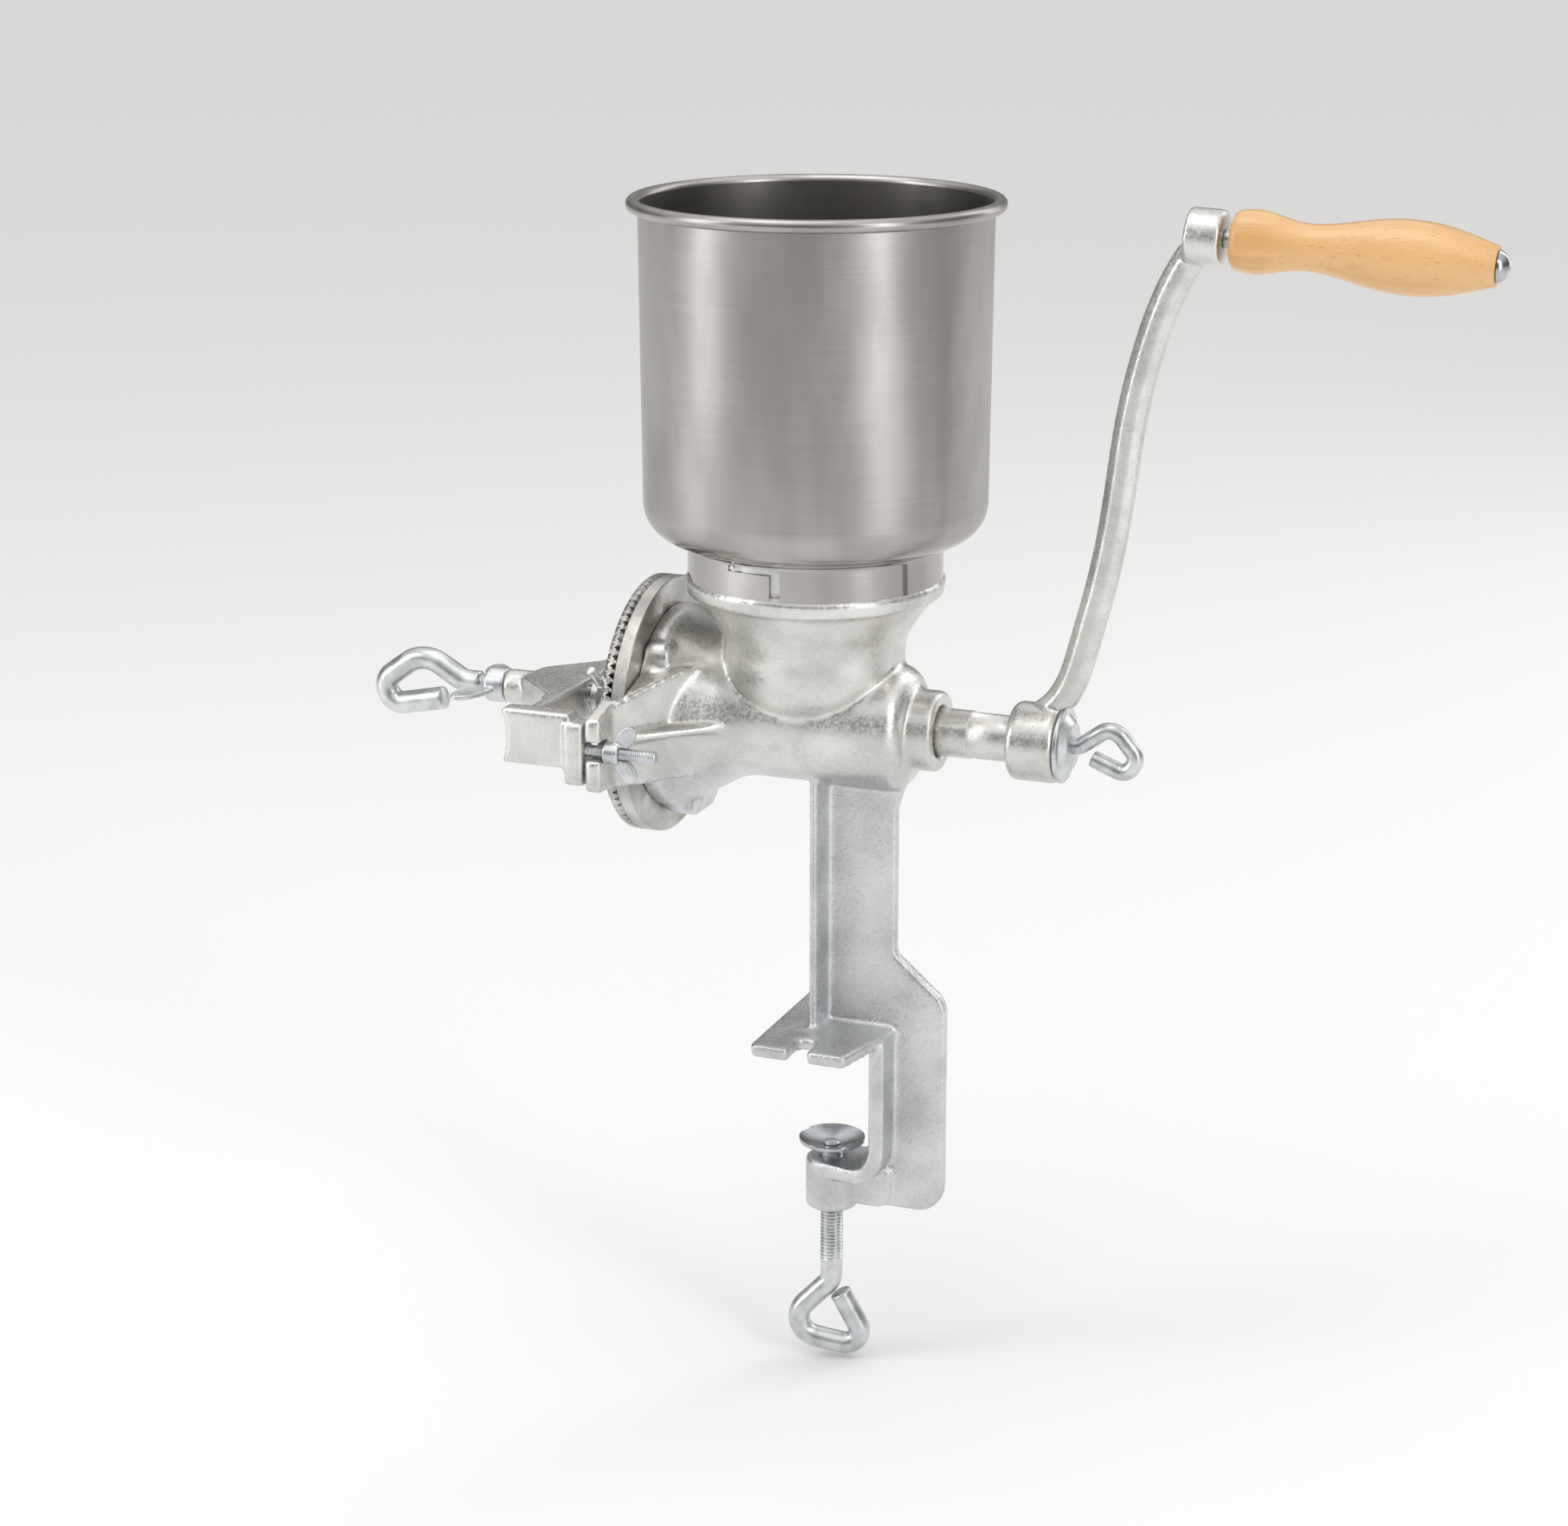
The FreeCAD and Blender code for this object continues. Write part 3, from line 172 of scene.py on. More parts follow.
# ----------------------------------------------------------------------- finishes
@dataclass(frozen=True)
class TinnedIron:
    """Sand-cast iron under bright tin: soft mottling and a sandy skin."""

    light: tuple = (0.74, 0.735, 0.70, 1.0)
    dark: tuple = (0.55, 0.545, 0.515, 1.0)
    cool_light: tuple = (0.70, 0.71, 0.72, 1.0)
    cool_dark: tuple = (0.50, 0.51, 0.52, 1.0)
    rough_low: float = 0.27
    rough_more: float = 0.20
    sand_depth: float = 0.26
    sandy_below: tuple = (0.100, 0.125)

    def material(self) -> bpy.types.Material:
        """Builds the material.  Sand is deep low down and soft on the throat."""
        g = Graph("tinned_iron")
        where = g.place()
        cloud = g.noise(where, 38.0, 4.0, 0.55)
        sand = g.noise(where, 760.0, 3.0, 0.62)
        grain = g.noise(where, 1500.0, 2.0, 0.6)
        height = g.node("ShaderNodeSeparateXYZ", {}, {0: where}, 2)
        sandy = 1.0 - g.span(height, *self.sandy_below)
        strength = sandy * 0.75 + 0.25
        shade = g.span(cloud * 0.7 + sand * 0.3, 0.34, 0.62)
        warm = g.mix(shade, self.dark, self.light)
        cool = g.mix(shade, self.cool_dark, self.cool_light)
        g.put(g.shader.inputs["Base Color"], g.mix(sandy, warm, cool))
        g.put(g.shader.inputs["Roughness"], self.rough_low + g.span(sand, 0.35, 0.7) * self.rough_more)
        g.shader.inputs["Metallic"].default_value = 0.92
        waves = g.bump(cloud, 0.5)
        relief = (sand + grain * 0.5) * strength
        g.put(g.shader.inputs["Normal"], g.bump(relief, self.sand_depth, waves))
        return g.material


@dataclass(frozen=True)
class BurrIron:
    """Hard iron under tin, a little darker, with turned marks."""

    light: tuple = (0.64, 0.63, 0.59, 1.0)
    dark: tuple = (0.40, 0.39, 0.365, 1.0)

    def material(self) -> bpy.types.Material:
        """Builds the material."""
        g = Graph("burr_iron")
        where = g.place()
        cloud = g.noise(where, 55.0, 4.0)
        grit = g.noise(where, 900.0, 3.0, 0.6)
        g.put(g.shader.inputs["Base Color"], g.mix(g.span(cloud, 0.35, 0.65), self.dark, self.light))
        g.put(g.shader.inputs["Roughness"], 0.30 + g.span(grit, 0.3, 0.7) * 0.18)
        g.shader.inputs["Metallic"].default_value = 0.95
        g.put(g.shader.inputs["Normal"], g.bump(grit, 0.10, g.bump(cloud, 0.3)))
        return g.material


@dataclass(frozen=True)
class Stainless:
    """Fine brushed sheet: hairlines run round the hopper, the neck is polished; tall light and dark
    streaks in its colour are painted reflections of the softboxes.
    """

    light: tuple = (0.47, 0.455, 0.435, 1.0)
    dark: tuple = (0.34, 0.327, 0.31, 1.0)
    neck_top: tuple = (0.203, 0.212)

    def material(self) -> bpy.types.Material:
        """Builds the material.  Hairlines are noise on (height, bearing); noise stretched upright paints
        light and dark reflection bands into the colour.
        """
        g = Graph("stainless")
        where = g.place()
        height = g.node("ShaderNodeSeparateXYZ", {}, {0: where}, 2)
        lines = g.noise(g.place((9.0, 9.0, 2600.0)), 1.0, 3.0, 0.6)
        # painted reflection: noise stretched upright gives vertical light and dark bands that stand for
        # the softboxes' reflections
        painted_reflection_bands = g.noise(g.place((26.0, 26.0, 9.0)), 1.0, 3.0)
        speck = g.noise(where, 1500.0, 2.0)
        brushed = g.span(height, *self.neck_top)
        # the colour goes from dark to light mostly with the painted reflection bands, and a little with
        # the hairlines
        shade = g.span(painted_reflection_bands * 0.85 + lines * 0.15, 0.36, 0.62)
        g.put(g.shader.inputs["Base Color"], g.mix(shade, self.dark, self.light))
        g.put(g.shader.inputs["Roughness"], 0.08 + brushed * (0.17 + lines * 0.07 + speck * 0.05))
        g.shader.inputs["Metallic"].default_value = 1.0
        g.shader.inputs["Anisotropic"].default_value = 0.35
        g.put(g.shader.inputs["Normal"], g.bump((lines + speck * 0.5) * (brushed * 0.9 + 0.1), 0.006))
        return g.material


@dataclass(frozen=True)
class PlatedSteel:
    """Bright plating over drawn steel, with faint draw marks and dull patches."""

    name: str
    light: tuple
    dark: tuple
    rough: float

    def material(self) -> bpy.types.Material:
        """Builds the material."""
        g = Graph(self.name)
        where = g.place()
        cloud = g.noise(where, 130.0, 4.0, 0.6)
        fine = g.noise(where, 1400.0, 3.0, 0.6)
        g.put(g.shader.inputs["Base Color"], g.mix(g.span(cloud, 0.35, 0.65), self.dark, self.light))
        g.put(g.shader.inputs["Roughness"], self.rough + g.span(cloud, 0.3, 0.7) * 0.10 + fine * 0.05)
        g.shader.inputs["Metallic"].default_value = 1.0
        g.put(g.shader.inputs["Normal"], g.bump(fine, 0.02, g.bump(cloud, 0.10)))
        return g.material


@dataclass(frozen=True)
class LacqueredWood:
    """Pale turned hardwood under clear gloss, with short fine pores along the grip."""

    early: tuple = (0.80, 0.50, 0.22, 1.0)
    late: tuple = (0.66, 0.36, 0.13, 1.0)
    pore: tuple = (0.45, 0.22, 0.075, 1.0)
    droop_degrees: float = 2.8

    def material(self) -> bpy.types.Material:
        """Builds the material.  Rings bend slowly along X, pores are short dashes."""
        g = Graph("lacquered_wood")
        turn = (0.0, -math.radians(self.droop_degrees), 0.0)
        rings = g.noise(g.place((5.0, 90.0, 60.0), turn), 1.0, 5.0, 0.6)
        pores = g.noise(g.place((110.0, 1500.0, 1500.0), turn), 1.0, 2.0, 0.6)
        warmth = g.noise(g.place((18.0, 30.0, 30.0), turn), 1.0, 2.0)
        base = g.mix(g.span(rings, 0.38, 0.64), self.early, self.late)
        base = g.mix(g.span(warmth, 0.3, 0.8) * 0.35, base, self.late)
        dash = g.span(pores, 0.60, 0.70) * 0.5
        g.put(g.shader.inputs["Base Color"], g.mix(dash, base, self.pore))
        g.put(g.shader.inputs["Roughness"], 0.34 + g.span(rings, 0.3, 0.7) * 0.10)
        g.shader.inputs["Coat Weight"].default_value = 0.55
        g.shader.inputs["Coat Roughness"].default_value = 0.16
        g.put(g.shader.inputs["Normal"], g.bump(pores, 0.03))
        return g.material


# ------------------------------------------------------------------ mesh helpers
def quads(rows: int, columns: int) -> np.ndarray:
    """Faces of a grid whose columns close on themselves.

    Args:
        rows: Rings of points.
        columns: Points in each ring.

    Returns:
        (n, 4) vertex numbers: each cell joins a ring to the next.
    """
    row, column = np.meshgrid(np.arange(rows - 1), np.arange(columns), indexing="ij")
    after = (column + 1) % columns
    here, above = row * columns, (row + 1) * columns
    cells = [here + column, here + after, above + after, above + column]
    return np.stack(cells, -1).reshape(-1, 4)


def rounded(corners: list[Corner], steps: int = 8) -> np.ndarray:
    """Polyline through (u, v, radius) corners, each turned along an arc.

    Args:
        corners: The outline's corners; the first and last stay sharp.
        steps: Pieces in each arc.

    Returns:
        (n, 2) points.  An arc of radius r touches both sides at r / tan(half angle).
    """
    points = [np.array(corners[0][:2])]
    for index in range(1, len(corners) - 1):
        here = np.array(corners[index][:2])
        radius = corners[index][2]
        back = np.array(corners[index - 1][:2]) - here
        ahead = np.array(corners[index + 1][:2]) - here
        back, ahead = back / np.linalg.norm(back), ahead / np.linalg.norm(ahead)
        half = math.acos(float(np.clip(back @ ahead, -1, 1))) / 2
        if radius <= 0 or half > math.pi / 2 - 1e-4:
            points.append(here)
            continue
        middle = (back + ahead) / np.linalg.norm(back + ahead)
        centre = here + middle * radius / math.sin(half)
        start = here + back * radius / math.tan(half) - centre
        stop = here + ahead * radius / math.tan(half) - centre
        sweep = math.pi - 2 * half
        share = np.linspace(0, 1, steps + 1)[:, None]
        arc = (np.sin((1 - share) * sweep) * start + np.sin(share * sweep) * stop) / math.sin(sweep)
        points.extend(centre + arc)
    points.append(np.array(corners[-1][:2]))
    return np.array(points)


def refined(path: np.ndarray, step: float) -> np.ndarray:
    """The same polyline with points no further apart than step, by linear interpolation."""
    lengths = np.linalg.norm(np.diff(path, axis=0), axis=1)
    along = np.concatenate([[0], np.cumsum(lengths)])
    extra = np.linspace(0, along[-1], int(along[-1] / step) + 2)
    where = np.unique(np.round(np.concatenate([along, extra]), 6))
    return np.stack([np.interp(where, along, path[:, k]) for k in range(path.shape[1])], -1)


def curve_through(knots: list[tuple[float, float]], at: np.ndarray) -> np.ndarray:
    """Natural cubic through (x, y) knots: second derivatives solve one linear system."""
    x, y = np.array(knots).T
    h = np.diff(x)
    count = len(x)
    system = np.zeros((count, count))
    system[0, 0] = system[-1, -1] = 1
    inner = np.arange(1, count - 1)
    system[inner, inner - 1] = h[:-1]
    system[inner, inner] = 2 * (h[:-1] + h[1:])
    system[inner, inner + 1] = h[1:]
    right = np.zeros(count)
    right[1:-1] = 6 * (np.diff(y)[1:] / h[1:] - np.diff(y)[:-1] / h[:-1])
    second = np.linalg.solve(system, right)
    cell = np.clip(np.searchsorted(x, at) - 1, 0, count - 2)
    left, rest = at - x[cell], x[cell + 1] - at
    width = h[cell]
    return (second[cell] * rest ** 3 + second[cell + 1] * left ** 3) / (6 * width) \
        + (y[cell] / width - second[cell] * width / 6) * rest \
        + (y[cell + 1] / width - second[cell + 1] * width / 6) * left


def spun(profile: np.ndarray, origin: Vector, axis: Vector,
         columns: int = 128) -> tuple[np.ndarray, np.ndarray]:
    """Surface of a (along, radius) profile turned about an axis.

    A point is origin + along * axis + radius * (cos t * side + sin t * other).

    Args:
        profile: (n, 2) array of distance along the axis and radius.
        origin: Point on the axis where along is zero.
        axis: Direction of the axis.
        columns: Points in each ring.

    Returns:
        Points in millimetres and faces.
    """
    heading = np.array(axis.normalized())
    side = np.array(axis.orthogonal().normalized())
    other = np.cross(heading, side)
    turn = np.linspace(0, 2 * math.pi, columns, endpoint=False)
    ring = np.cos(turn)[:, None] * side + np.sin(turn)[:, None] * other
    points = np.array(origin) + profile[:, 0, None, None] * heading + profile[:, 1, None, None] * ring
    return points.reshape(-1, 3), quads(len(profile), columns)


def tube(path: np.ndarray, normal: Vector, radius: float, columns: int = 28, bevel: float = 0.8) -> tuple:
    """Round rod along a flat path with softened ends.

    Each ring stands square to the path: path + r * (cos t * side + sin t * normal).
    At both ends the radius falls to nothing over the bevel.

    Args:
        path: (n, 3) centre line in millimetres, within one plane.
        normal: Direction square to that plane.
        radius: Half the rod's thickness.
        columns: Points in each ring.
        bevel: Size of the rounding at each end.

    Returns:
        Points in millimetres and faces.
    """
    tangent = np.gradient(path, axis=0)
    tangent /= np.linalg.norm(tangent, axis=1)[:, None]
    up = np.array(normal.normalized())
    side = np.cross(up, tangent)
    ease = np.array([0.0, 0.35, 0.75, 1.0])
    shrink = radius - bevel * (1 - np.sqrt(1 - (1 - ease) ** 2))
    inset = bevel * ease
    first = path[0] + tangent[0] * inset[:, None]
    last = path[-1] - tangent[-1] * inset[::-1, None]
    keep = (np.linalg.norm(path - path[0], axis=1) > bevel) | (np.arange(len(path)) > len(path) // 2)
    keep &= (np.linalg.norm(path - path[-1], axis=1) > bevel) | (np.arange(len(path)) < len(path) // 2)
    rows = np.concatenate([path[:1], first, path[keep], last, path[-1:]])
    radii = np.concatenate([[0], shrink, np.full(keep.sum(), radius), shrink[::-1], [0]])
    sides = np.concatenate([side[:1]] * 5 + [side[keep]] + [side[-1:]] * 5)
    turn = np.linspace(0, 2 * math.pi, columns, endpoint=False)
    ring = np.cos(turn)[None, :, None] * sides[:, None] + np.sin(turn)[None, :, None] * up
    return (rows[:, None] + radii[:, None, None] * ring).reshape(-1, 3), quads(len(rows), columns)


def threaded(start: float, end: float, outer: float, depth: float, pitch: float, origin: Vector,
             axis: Vector, columns: int = 40) -> tuple:
    """Threaded rod: its radius is outer less depth times a triangle wave.

    The wave's phase is distance / pitch - bearing / full turn, and both ends taper
    to the root over one pitch.

    Args:
        start: Where the thread begins along the axis.
        end: Where it ends.
        outer: Radius at the crests.
        depth: Height of a crest.
        pitch: Distance between crests.
        origin: Point on the axis.
        axis: Direction of the axis.
        columns: Points in each ring.

    Returns:
        Points in millimetres and faces.
    """
    rows = int((end - start) / pitch * 10) + 2
    along = np.linspace(start, end, rows)[:, None]
    turn = np.linspace(0, 2 * math.pi, columns, endpoint=False)[None, :]
    phase = (along / pitch - turn / (2 * math.pi)) % 1.0
    radius = outer - depth * np.clip(1.0 - 3.2 * np.abs(phase - 0.5), 0, 1)
    margin = np.minimum(along - start, end - along)
    radius = np.minimum(radius, outer - depth + margin * 0.9)
    heading = np.array(axis.normalized())
    side = np.array(axis.orthogonal().normalized())
    other = np.cross(heading, side)
    ring = np.cos(turn)[..., None] * side + np.sin(turn)[..., None] * other
    body = np.array(origin) + along[..., None] * heading + radius[..., None] * ring
    tips = [np.broadcast_to(np.array(origin) + x * heading, (1, columns, 3)) for x in (start, end)]
    return np.concatenate([tips[0], body, tips[1]]).reshape(-1, 3), quads(rows + 2, columns)


def bent_rod(neck: Vector, heading: Vector, side: Vector, lead: float, loop: list[Corner],
             radius: float) -> tuple:
    """Rod that comes up to its neck and goes on round a finger loop.

    Args:
        neck: Where the loop begins.
        heading: Direction of the straight part.
        side: Direction of the corners' second number.
        lead: Length of the straight part before the neck.
        loop: (beyond the neck, towards side, corner radius) corners.
        radius: Half the rod's thickness.

    Returns:
        Points in millimetres and faces of a tube round the rounded outline.
    """
    flat = refined(rounded([(-lead, 0.0, 0.0)] + loop, 14), 1.2)
    path = np.array(neck) + flat[:, :1] * np.array(heading) + flat[:, 1:] * np.array(side)
    return tube(path, side.cross(heading), radius)


def written(name: str, shells: list[tuple], sharp_degrees: float = 38.0) -> bpy.types.Object:
    """One mesh object from (points in mm, faces) shells, closed and facing outwards."""
    points, faces, offset = [], [], 0
    for shell_points, shell_faces in shells:
        points.append(shell_points * MM)
        faces.append(shell_faces + offset)
        offset += len(shell_points)
    mesh = bpy.data.meshes.new(name)
    mesh.from_pydata(np.concatenate(points), [], np.concatenate(faces))
    tool = bmesh.new()
    tool.from_mesh(mesh)
    bmesh.ops.remove_doubles(tool, verts=tool.verts, dist=1e-6)
    loose = [vertex for vertex in tool.verts if not vertex.link_faces]
    bmesh.ops.delete(tool, geom=loose, context="VERTS")
    bmesh.ops.recalc_face_normals(tool, faces=tool.faces)
    tool.to_mesh(mesh)
    tool.free()
    mesh.shade_smooth()
    mesh.set_sharp_from_angle(angle=math.radians(sharp_degrees))
    made = bpy.data.objects.new(name, mesh)
    bpy.context.scene.collection.objects.link(made)
    return made


def applied(piece: bpy.types.Object) -> bpy.types.Object:
    """The piece with its modifiers worked into its mesh."""
    graph = bpy.context.evaluated_depsgraph_get()
    mesh = bpy.data.meshes.new_from_object(piece.evaluated_get(graph))
    piece.modifiers.clear()
    piece.data = mesh
    return piece


def merged_copy(node: str, name: str) -> bpy.types.Object:
    """A copy of a frame node's mesh with its loose triangles merged."""
    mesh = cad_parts[node].data.copy()
    mesh.materials.clear()
    mesh.name = name
    tool = bmesh.new()
    tool.from_mesh(mesh)
    bmesh.ops.remove_doubles(tool, verts=tool.verts, dist=2e-6)
    tool.to_mesh(mesh)
    tool.free()
    made = bpy.data.objects.new(name, mesh)
    bpy.context.scene.collection.objects.link(made)
    return made


def dressed(piece: bpy.types.Object, slot: Slot, finishes: dict, body: str,
            *nodes: str) -> bpy.types.Object:
    """Gives a piece its finish, its body and the nodes that it stands for."""
    piece.data.materials.clear()
    piece.data.materials.append(finishes[slot])
    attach(piece, body)
    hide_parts(*nodes)
    log.info("%s: %d faces on %s", piece.name, len(piece.data.polygons), body)
    return piece


# ------------------------------------------------------------------ sub-assemblies
@dataclass
class Casting:
    """A cast piece: the frame's shape with every edge rounded as sand leaves it."""

    node: str
    body: str
    voxel: float
    passes: int
    slot: Slot = Slot.IRON

    def build(self, finishes: dict) -> bpy.types.Object:
        """Remeshes a merged copy in small cells and evens it out, which rounds edges."""
        piece = merged_copy(self.node, self.node + "_cast")
        cells = piece.modifiers.new("cells", "REMESH")
        cells.mode = "VOXEL"
        cells.voxel_size = self.voxel * MM
        even = piece.modifiers.new("even", "SMOOTH")
        even.factor = 0.5
        even.iterations = self.passes
        applied(piece)
        piece.data.shade_smooth()
        return dressed(piece, self.slot, finishes, self.body, self.node)


@dataclass
class Machined:
    """A piece with crisp edges: a merged copy, smooth between its edges."""

    node: str
    body: str
    slot: Slot

    def build(self, finishes: dict) -> bpy.types.Object:
        """Shades smooth between edges sharper than 30 degrees."""
        piece = merged_copy(self.node, self.node + "_turned")
        piece.data.shade_smooth()
        piece.data.set_sharp_from_angle(angle=math.radians(30))
        return dressed(piece, self.slot, finishes, self.body, self.node)


@dataclass
class Hopper:
    """Spun sheet hopper with a rolled rim and two bayonet slots in its neck."""

    axis_x: float = -8.0
    collar_z: float = 188.5
    neck_radius: float = 50.1
    neck_height: float = 13.6
    shoulder_rise: float = 5.8
    radius: float = 68.0
    taper: float = 1.0
    shoulder_round: float = 15.0
    rim_z: float = 333.0
    bead: float = 2.6
    sheet: float = 0.7
    slot_top: float = 202.0
    slot_height: float = 3.4
    slot_start: float = -110.43
    slot_sweep: float = 25.8
    entry_sweep: float = 4.8

    def build(self, finishes: dict) -> bpy.types.Object:
        """Wall: (radius, height) profile on a ring of bearings, less the slots' cells."""
        shoulder = self.collar_z + self.neck_height
        outline = rounded([
            (self.neck_radius, self.collar_z, 0),
            (self.neck_radius, shoulder, 1.6),
            (self.radius - self.taper, shoulder + self.shoulder_rise, self.shoulder_round),
            (self.radius - self.taper + 0.1, shoulder + self.shoulder_rise + self.shoulder_round, 0),
            (self.radius, self.rim_z, 0),
        ], 14)
        slot_low, slot_high = self.slot_top - self.slot_height, outline[1, 1]
        cuts = np.array([[self.neck_radius, slot_low], [self.neck_radius, slot_high]])
        profile = np.concatenate([outline[:1], cuts, outline[2:]])
        profile = refined(profile, 4.0)
        way_in = self.slot_start + self.slot_sweep - self.entry_sweep
        edges = [self.slot_start, self.slot_start + self.slot_sweep, way_in]
        edges = np.array(edges + [edge + 180 for edge in edges])
        bearing = np.unique(np.round(np.concatenate([np.arange(0, 360, 1.5), edges % 360]), 4))
        turn = np.radians(bearing)
        x = self.axis_x + profile[:, 0, None] * np.cos(turn)
        y = profile[:, 0, None] * np.sin(turn)
        z = np.broadcast_to(profile[:, 1, None], x.shape)
        points = np.stack([x, y, z], -1)
        columns = len(turn)
        faces = quads(len(profile), columns)
        centres = points.reshape(-1, 3)[faces].mean(1)
        angle = np.degrees(np.arctan2(centres[:, 1], centres[:, 0] - self.axis_x))
        past = (angle - self.slot_start) % 180
        below = centres[:, 2] < slot_high
        in_level = (past < self.slot_sweep) & (centres[:, 2] > slot_low) & below
        in_entry = (past < self.slot_sweep) & (past > self.slot_sweep - self.entry_sweep) & below
        wall = written("hopper_wall", [(points.reshape(-1, 3), faces[~(in_level | in_entry)])])
        skin = wall.modifiers.new("sheet", "SOLIDIFY")
        skin.thickness = self.sheet * MM
        skin.offset = -1.0
        applied(wall)
        wall.data.shade_smooth()
        wall.data.set_sharp_from_angle(angle=math.radians(50))
        around = np.linspace(0, 2 * math.pi, 21)
        middle = self.radius + 0.75 * self.bead
        roll = np.stack([self.rim_z + self.bead * np.sin(around), middle + self.bead * np.cos(around)], -1)
        rim = written("hopper_rim", [spun(roll, Vector((self.axis_x, 0, 0)), Vector((0, 0, 1)), 240)], 60)
        dressed(rim, Slot.STAINLESS, finishes, "hopper", "hopper")
        return dressed(wall, Slot.STAINLESS, finishes, "hopper", "hopper")


@dataclass
class Handle:
    """Turned wooden grip on its long bolt, with the bolt's domed end."""

    reach: float = 144.2
    height: float = 327.5
    droop: float = 2.8
    eye: float = 13.5
    gap: float = 3.2
    length: float = 96.0
    bore: float = 3.28
    knots: list = field(default_factory=lambda: [
        (0.03, 11.3), (0.10, 11.7), (0.24, 9.0), (0.38, 9.4), (0.55, 12.6), (0.68, 13.6),
        (0.82, 12.2), (0.95, 8.8), (1.0, 7.4)])
    dome_radius: float = 6.0
    dome_height: float = 4.2
    spindle_radius: float = 3.2

    def axis(self) -> tuple[Vector, Vector]:
        """Where the handle's axis starts and where it points."""
        angle = math.radians(self.droop)
        return Vector((self.reach, 0, self.height)), Vector((math.cos(angle), 0, -math.sin(angle)))

    def build(self, finishes: dict) -> None:
        """Grip: cubic curve through turned radii.  Spindle: rod and a spherical dome."""
        origin, axis = self.axis()
        start = self.eye / 2 + self.gap
        share = np.linspace(self.knots[0][0], 1.0, 110)
        body = np.stack([start + self.length * share, curve_through(self.knots, share)], -1)
        lip = np.array([[start, 8.0], [start + 0.15, 9.0], [start + 0.8, 10.2], [start + 1.7, 10.9]])
        end = start + self.length
        first, last = [[start, self.bore]], [[end, self.bore]]
        profile = np.concatenate([first, lip, body, last, first])
        grip = written("handle_grip_wood", [spun(profile, origin, axis, 144)], 42)
        dressed(grip, Slot.WOOD, finishes, "grip", "handle_grip")
        ball = (self.dome_radius ** 2 + self.dome_height ** 2) / (2 * self.dome_height)
        limit = math.asin(self.dome_radius / ball)
        sweep = np.linspace(limit, 0, 16)
        face = end + 0.4
        dome = np.stack([face + self.dome_height - ball + ball * np.cos(sweep), ball * np.sin(sweep)], -1)
        back = -self.eye / 2 - 1.0
        rod = np.array([[back, 0], [back, self.spindle_radius - 0.3], [back + 0.3, self.spindle_radius],
                        [face, self.spindle_radius]])
        spindle = written("spindle_steel", [spun(np.concatenate([rod, dome]), origin, axis, 64)])
        dressed(spindle, Slot.POLISHED, finishes, "rotor", "handle_spindle")


@dataclass
class HandScrews:
    """The three finger screws, bent from rod, two of them with cut threads."""

    shaft_z: float = 130.0
    adjust_neck: float = 161.0
    adjust_rod: float = 4.7
    adjust_thread: float = 3.3
    adjust_tip: float = 105.4
    adjust_loop: list = field(default_factory=lambda: [
        (2.0, 0.0, 8.0), (20.4, 10.6, 14.0), (39.4, -3.4, 6.5), (34.8, -13.1, 6.5), (11.0, -8.2, 0.0)])
    clamp_neck: float = 108.0
    clamp_rod: float = 4.5
    clamp_thread: float = 4.65
    clamp_bearing: float = 15.0
    clamp_loop: list = field(default_factory=lambda: [
        (3.0, 0.0, 7.0), (26.0, 22.5, 9.0), (34.0, -16.9, 6.0), (8.5, -3.5, 0.0)])
    cup_base: float = -51.8
    cup_sheet: float = 1.4
    rivet_lift: float = 0.5
    crank_neck: float = 99.7
    crank_start: float = 66.6
    crank_rod: float = 3.3
    crank_loop: list = field(default_factory=lambda: [
        (1.5, 0.0, 4.0), (14.5, 9.4, 6.0), (24.8, -2.6, 4.5), (20.2, -9.6, 4.5), (6.5, -4.2, 0.0)])
    pitch: float = 1.25
    depth: float = 0.5

    def build_adjusting(self, finishes: dict) -> None:
        """Drooping loop: a rounded outline in the upright plane through the shaft."""
        neck = Vector((-self.adjust_neck, 0, self.shaft_z))
        loop = bent_rod(neck, Vector((-1, 0, 0)), Vector((0, 0, 1)), 6, self.adjust_loop, self.adjust_rod)
        rod = threaded(self.adjust_tip, self.adjust_neck - 5, self.adjust_thread, self.depth, self.pitch,
                       Vector((0, 0, self.shaft_z)), Vector((-1, 0, 0)))
        piece = written("adjusting_screw_bent", [loop, rod])
        dressed(piece, Slot.ZINC, finishes, "adjuster", "adjusting_screw")

    def build_clamp(self, finishes: dict) -> None:
        """Loop, thread, and the riveted stud on which the cup turns."""
        bearing = math.radians(self.clamp_bearing)
        side = Vector((-math.cos(bearing), -math.sin(bearing), 0))
        down = Vector((0, 0, -1))
        loop = bent_rod(Vector((0, 0, -self.clamp_neck)), down, side, 8, self.clamp_loop, self.clamp_rod)
        rod = threaded(-self.clamp_neck + 6, self.cup_base - 1.2, self.clamp_thread, 0.62, 1.5,
                       Vector((0, 0, 0)), Vector((0, 0, 1)))
        rivet = self.cup_base + self.cup_sheet + self.rivet_lift
        stud = np.array([[self.cup_base - 2, 0], [self.cup_base - 2, 2.0], [rivet, 2.0], [rivet, 3.4],
                         [rivet + 0.5, 3.3], [rivet + 1.0, 2.6], [rivet + 1.2, 1.2], [rivet + 1.2, 0]])
        shells = [loop, rod, spun(stud, Vector((0, 0, 0)), Vector((0, 0, 1)), 48)]
        dressed(written("clamp_screw_bent", shells), Slot.ZINC, finishes, "clamp_screw", "clamp_screw")

    def build_crank(self, finishes: dict) -> None:
        """Small loop that holds the crank."""
        neck = Vector((self.crank_neck, 0, self.shaft_z))
        lead = self.crank_neck - self.crank_start
        rod = bent_rod(neck, Vector((1, 0, 0)), Vector((0, 0, 1)), lead, self.crank_loop, self.crank_rod)
        piece = written("crank_screw_bent", [rod])
        dressed(piece, Slot.ZINC, finishes, "crank_screw", "crank_screw")


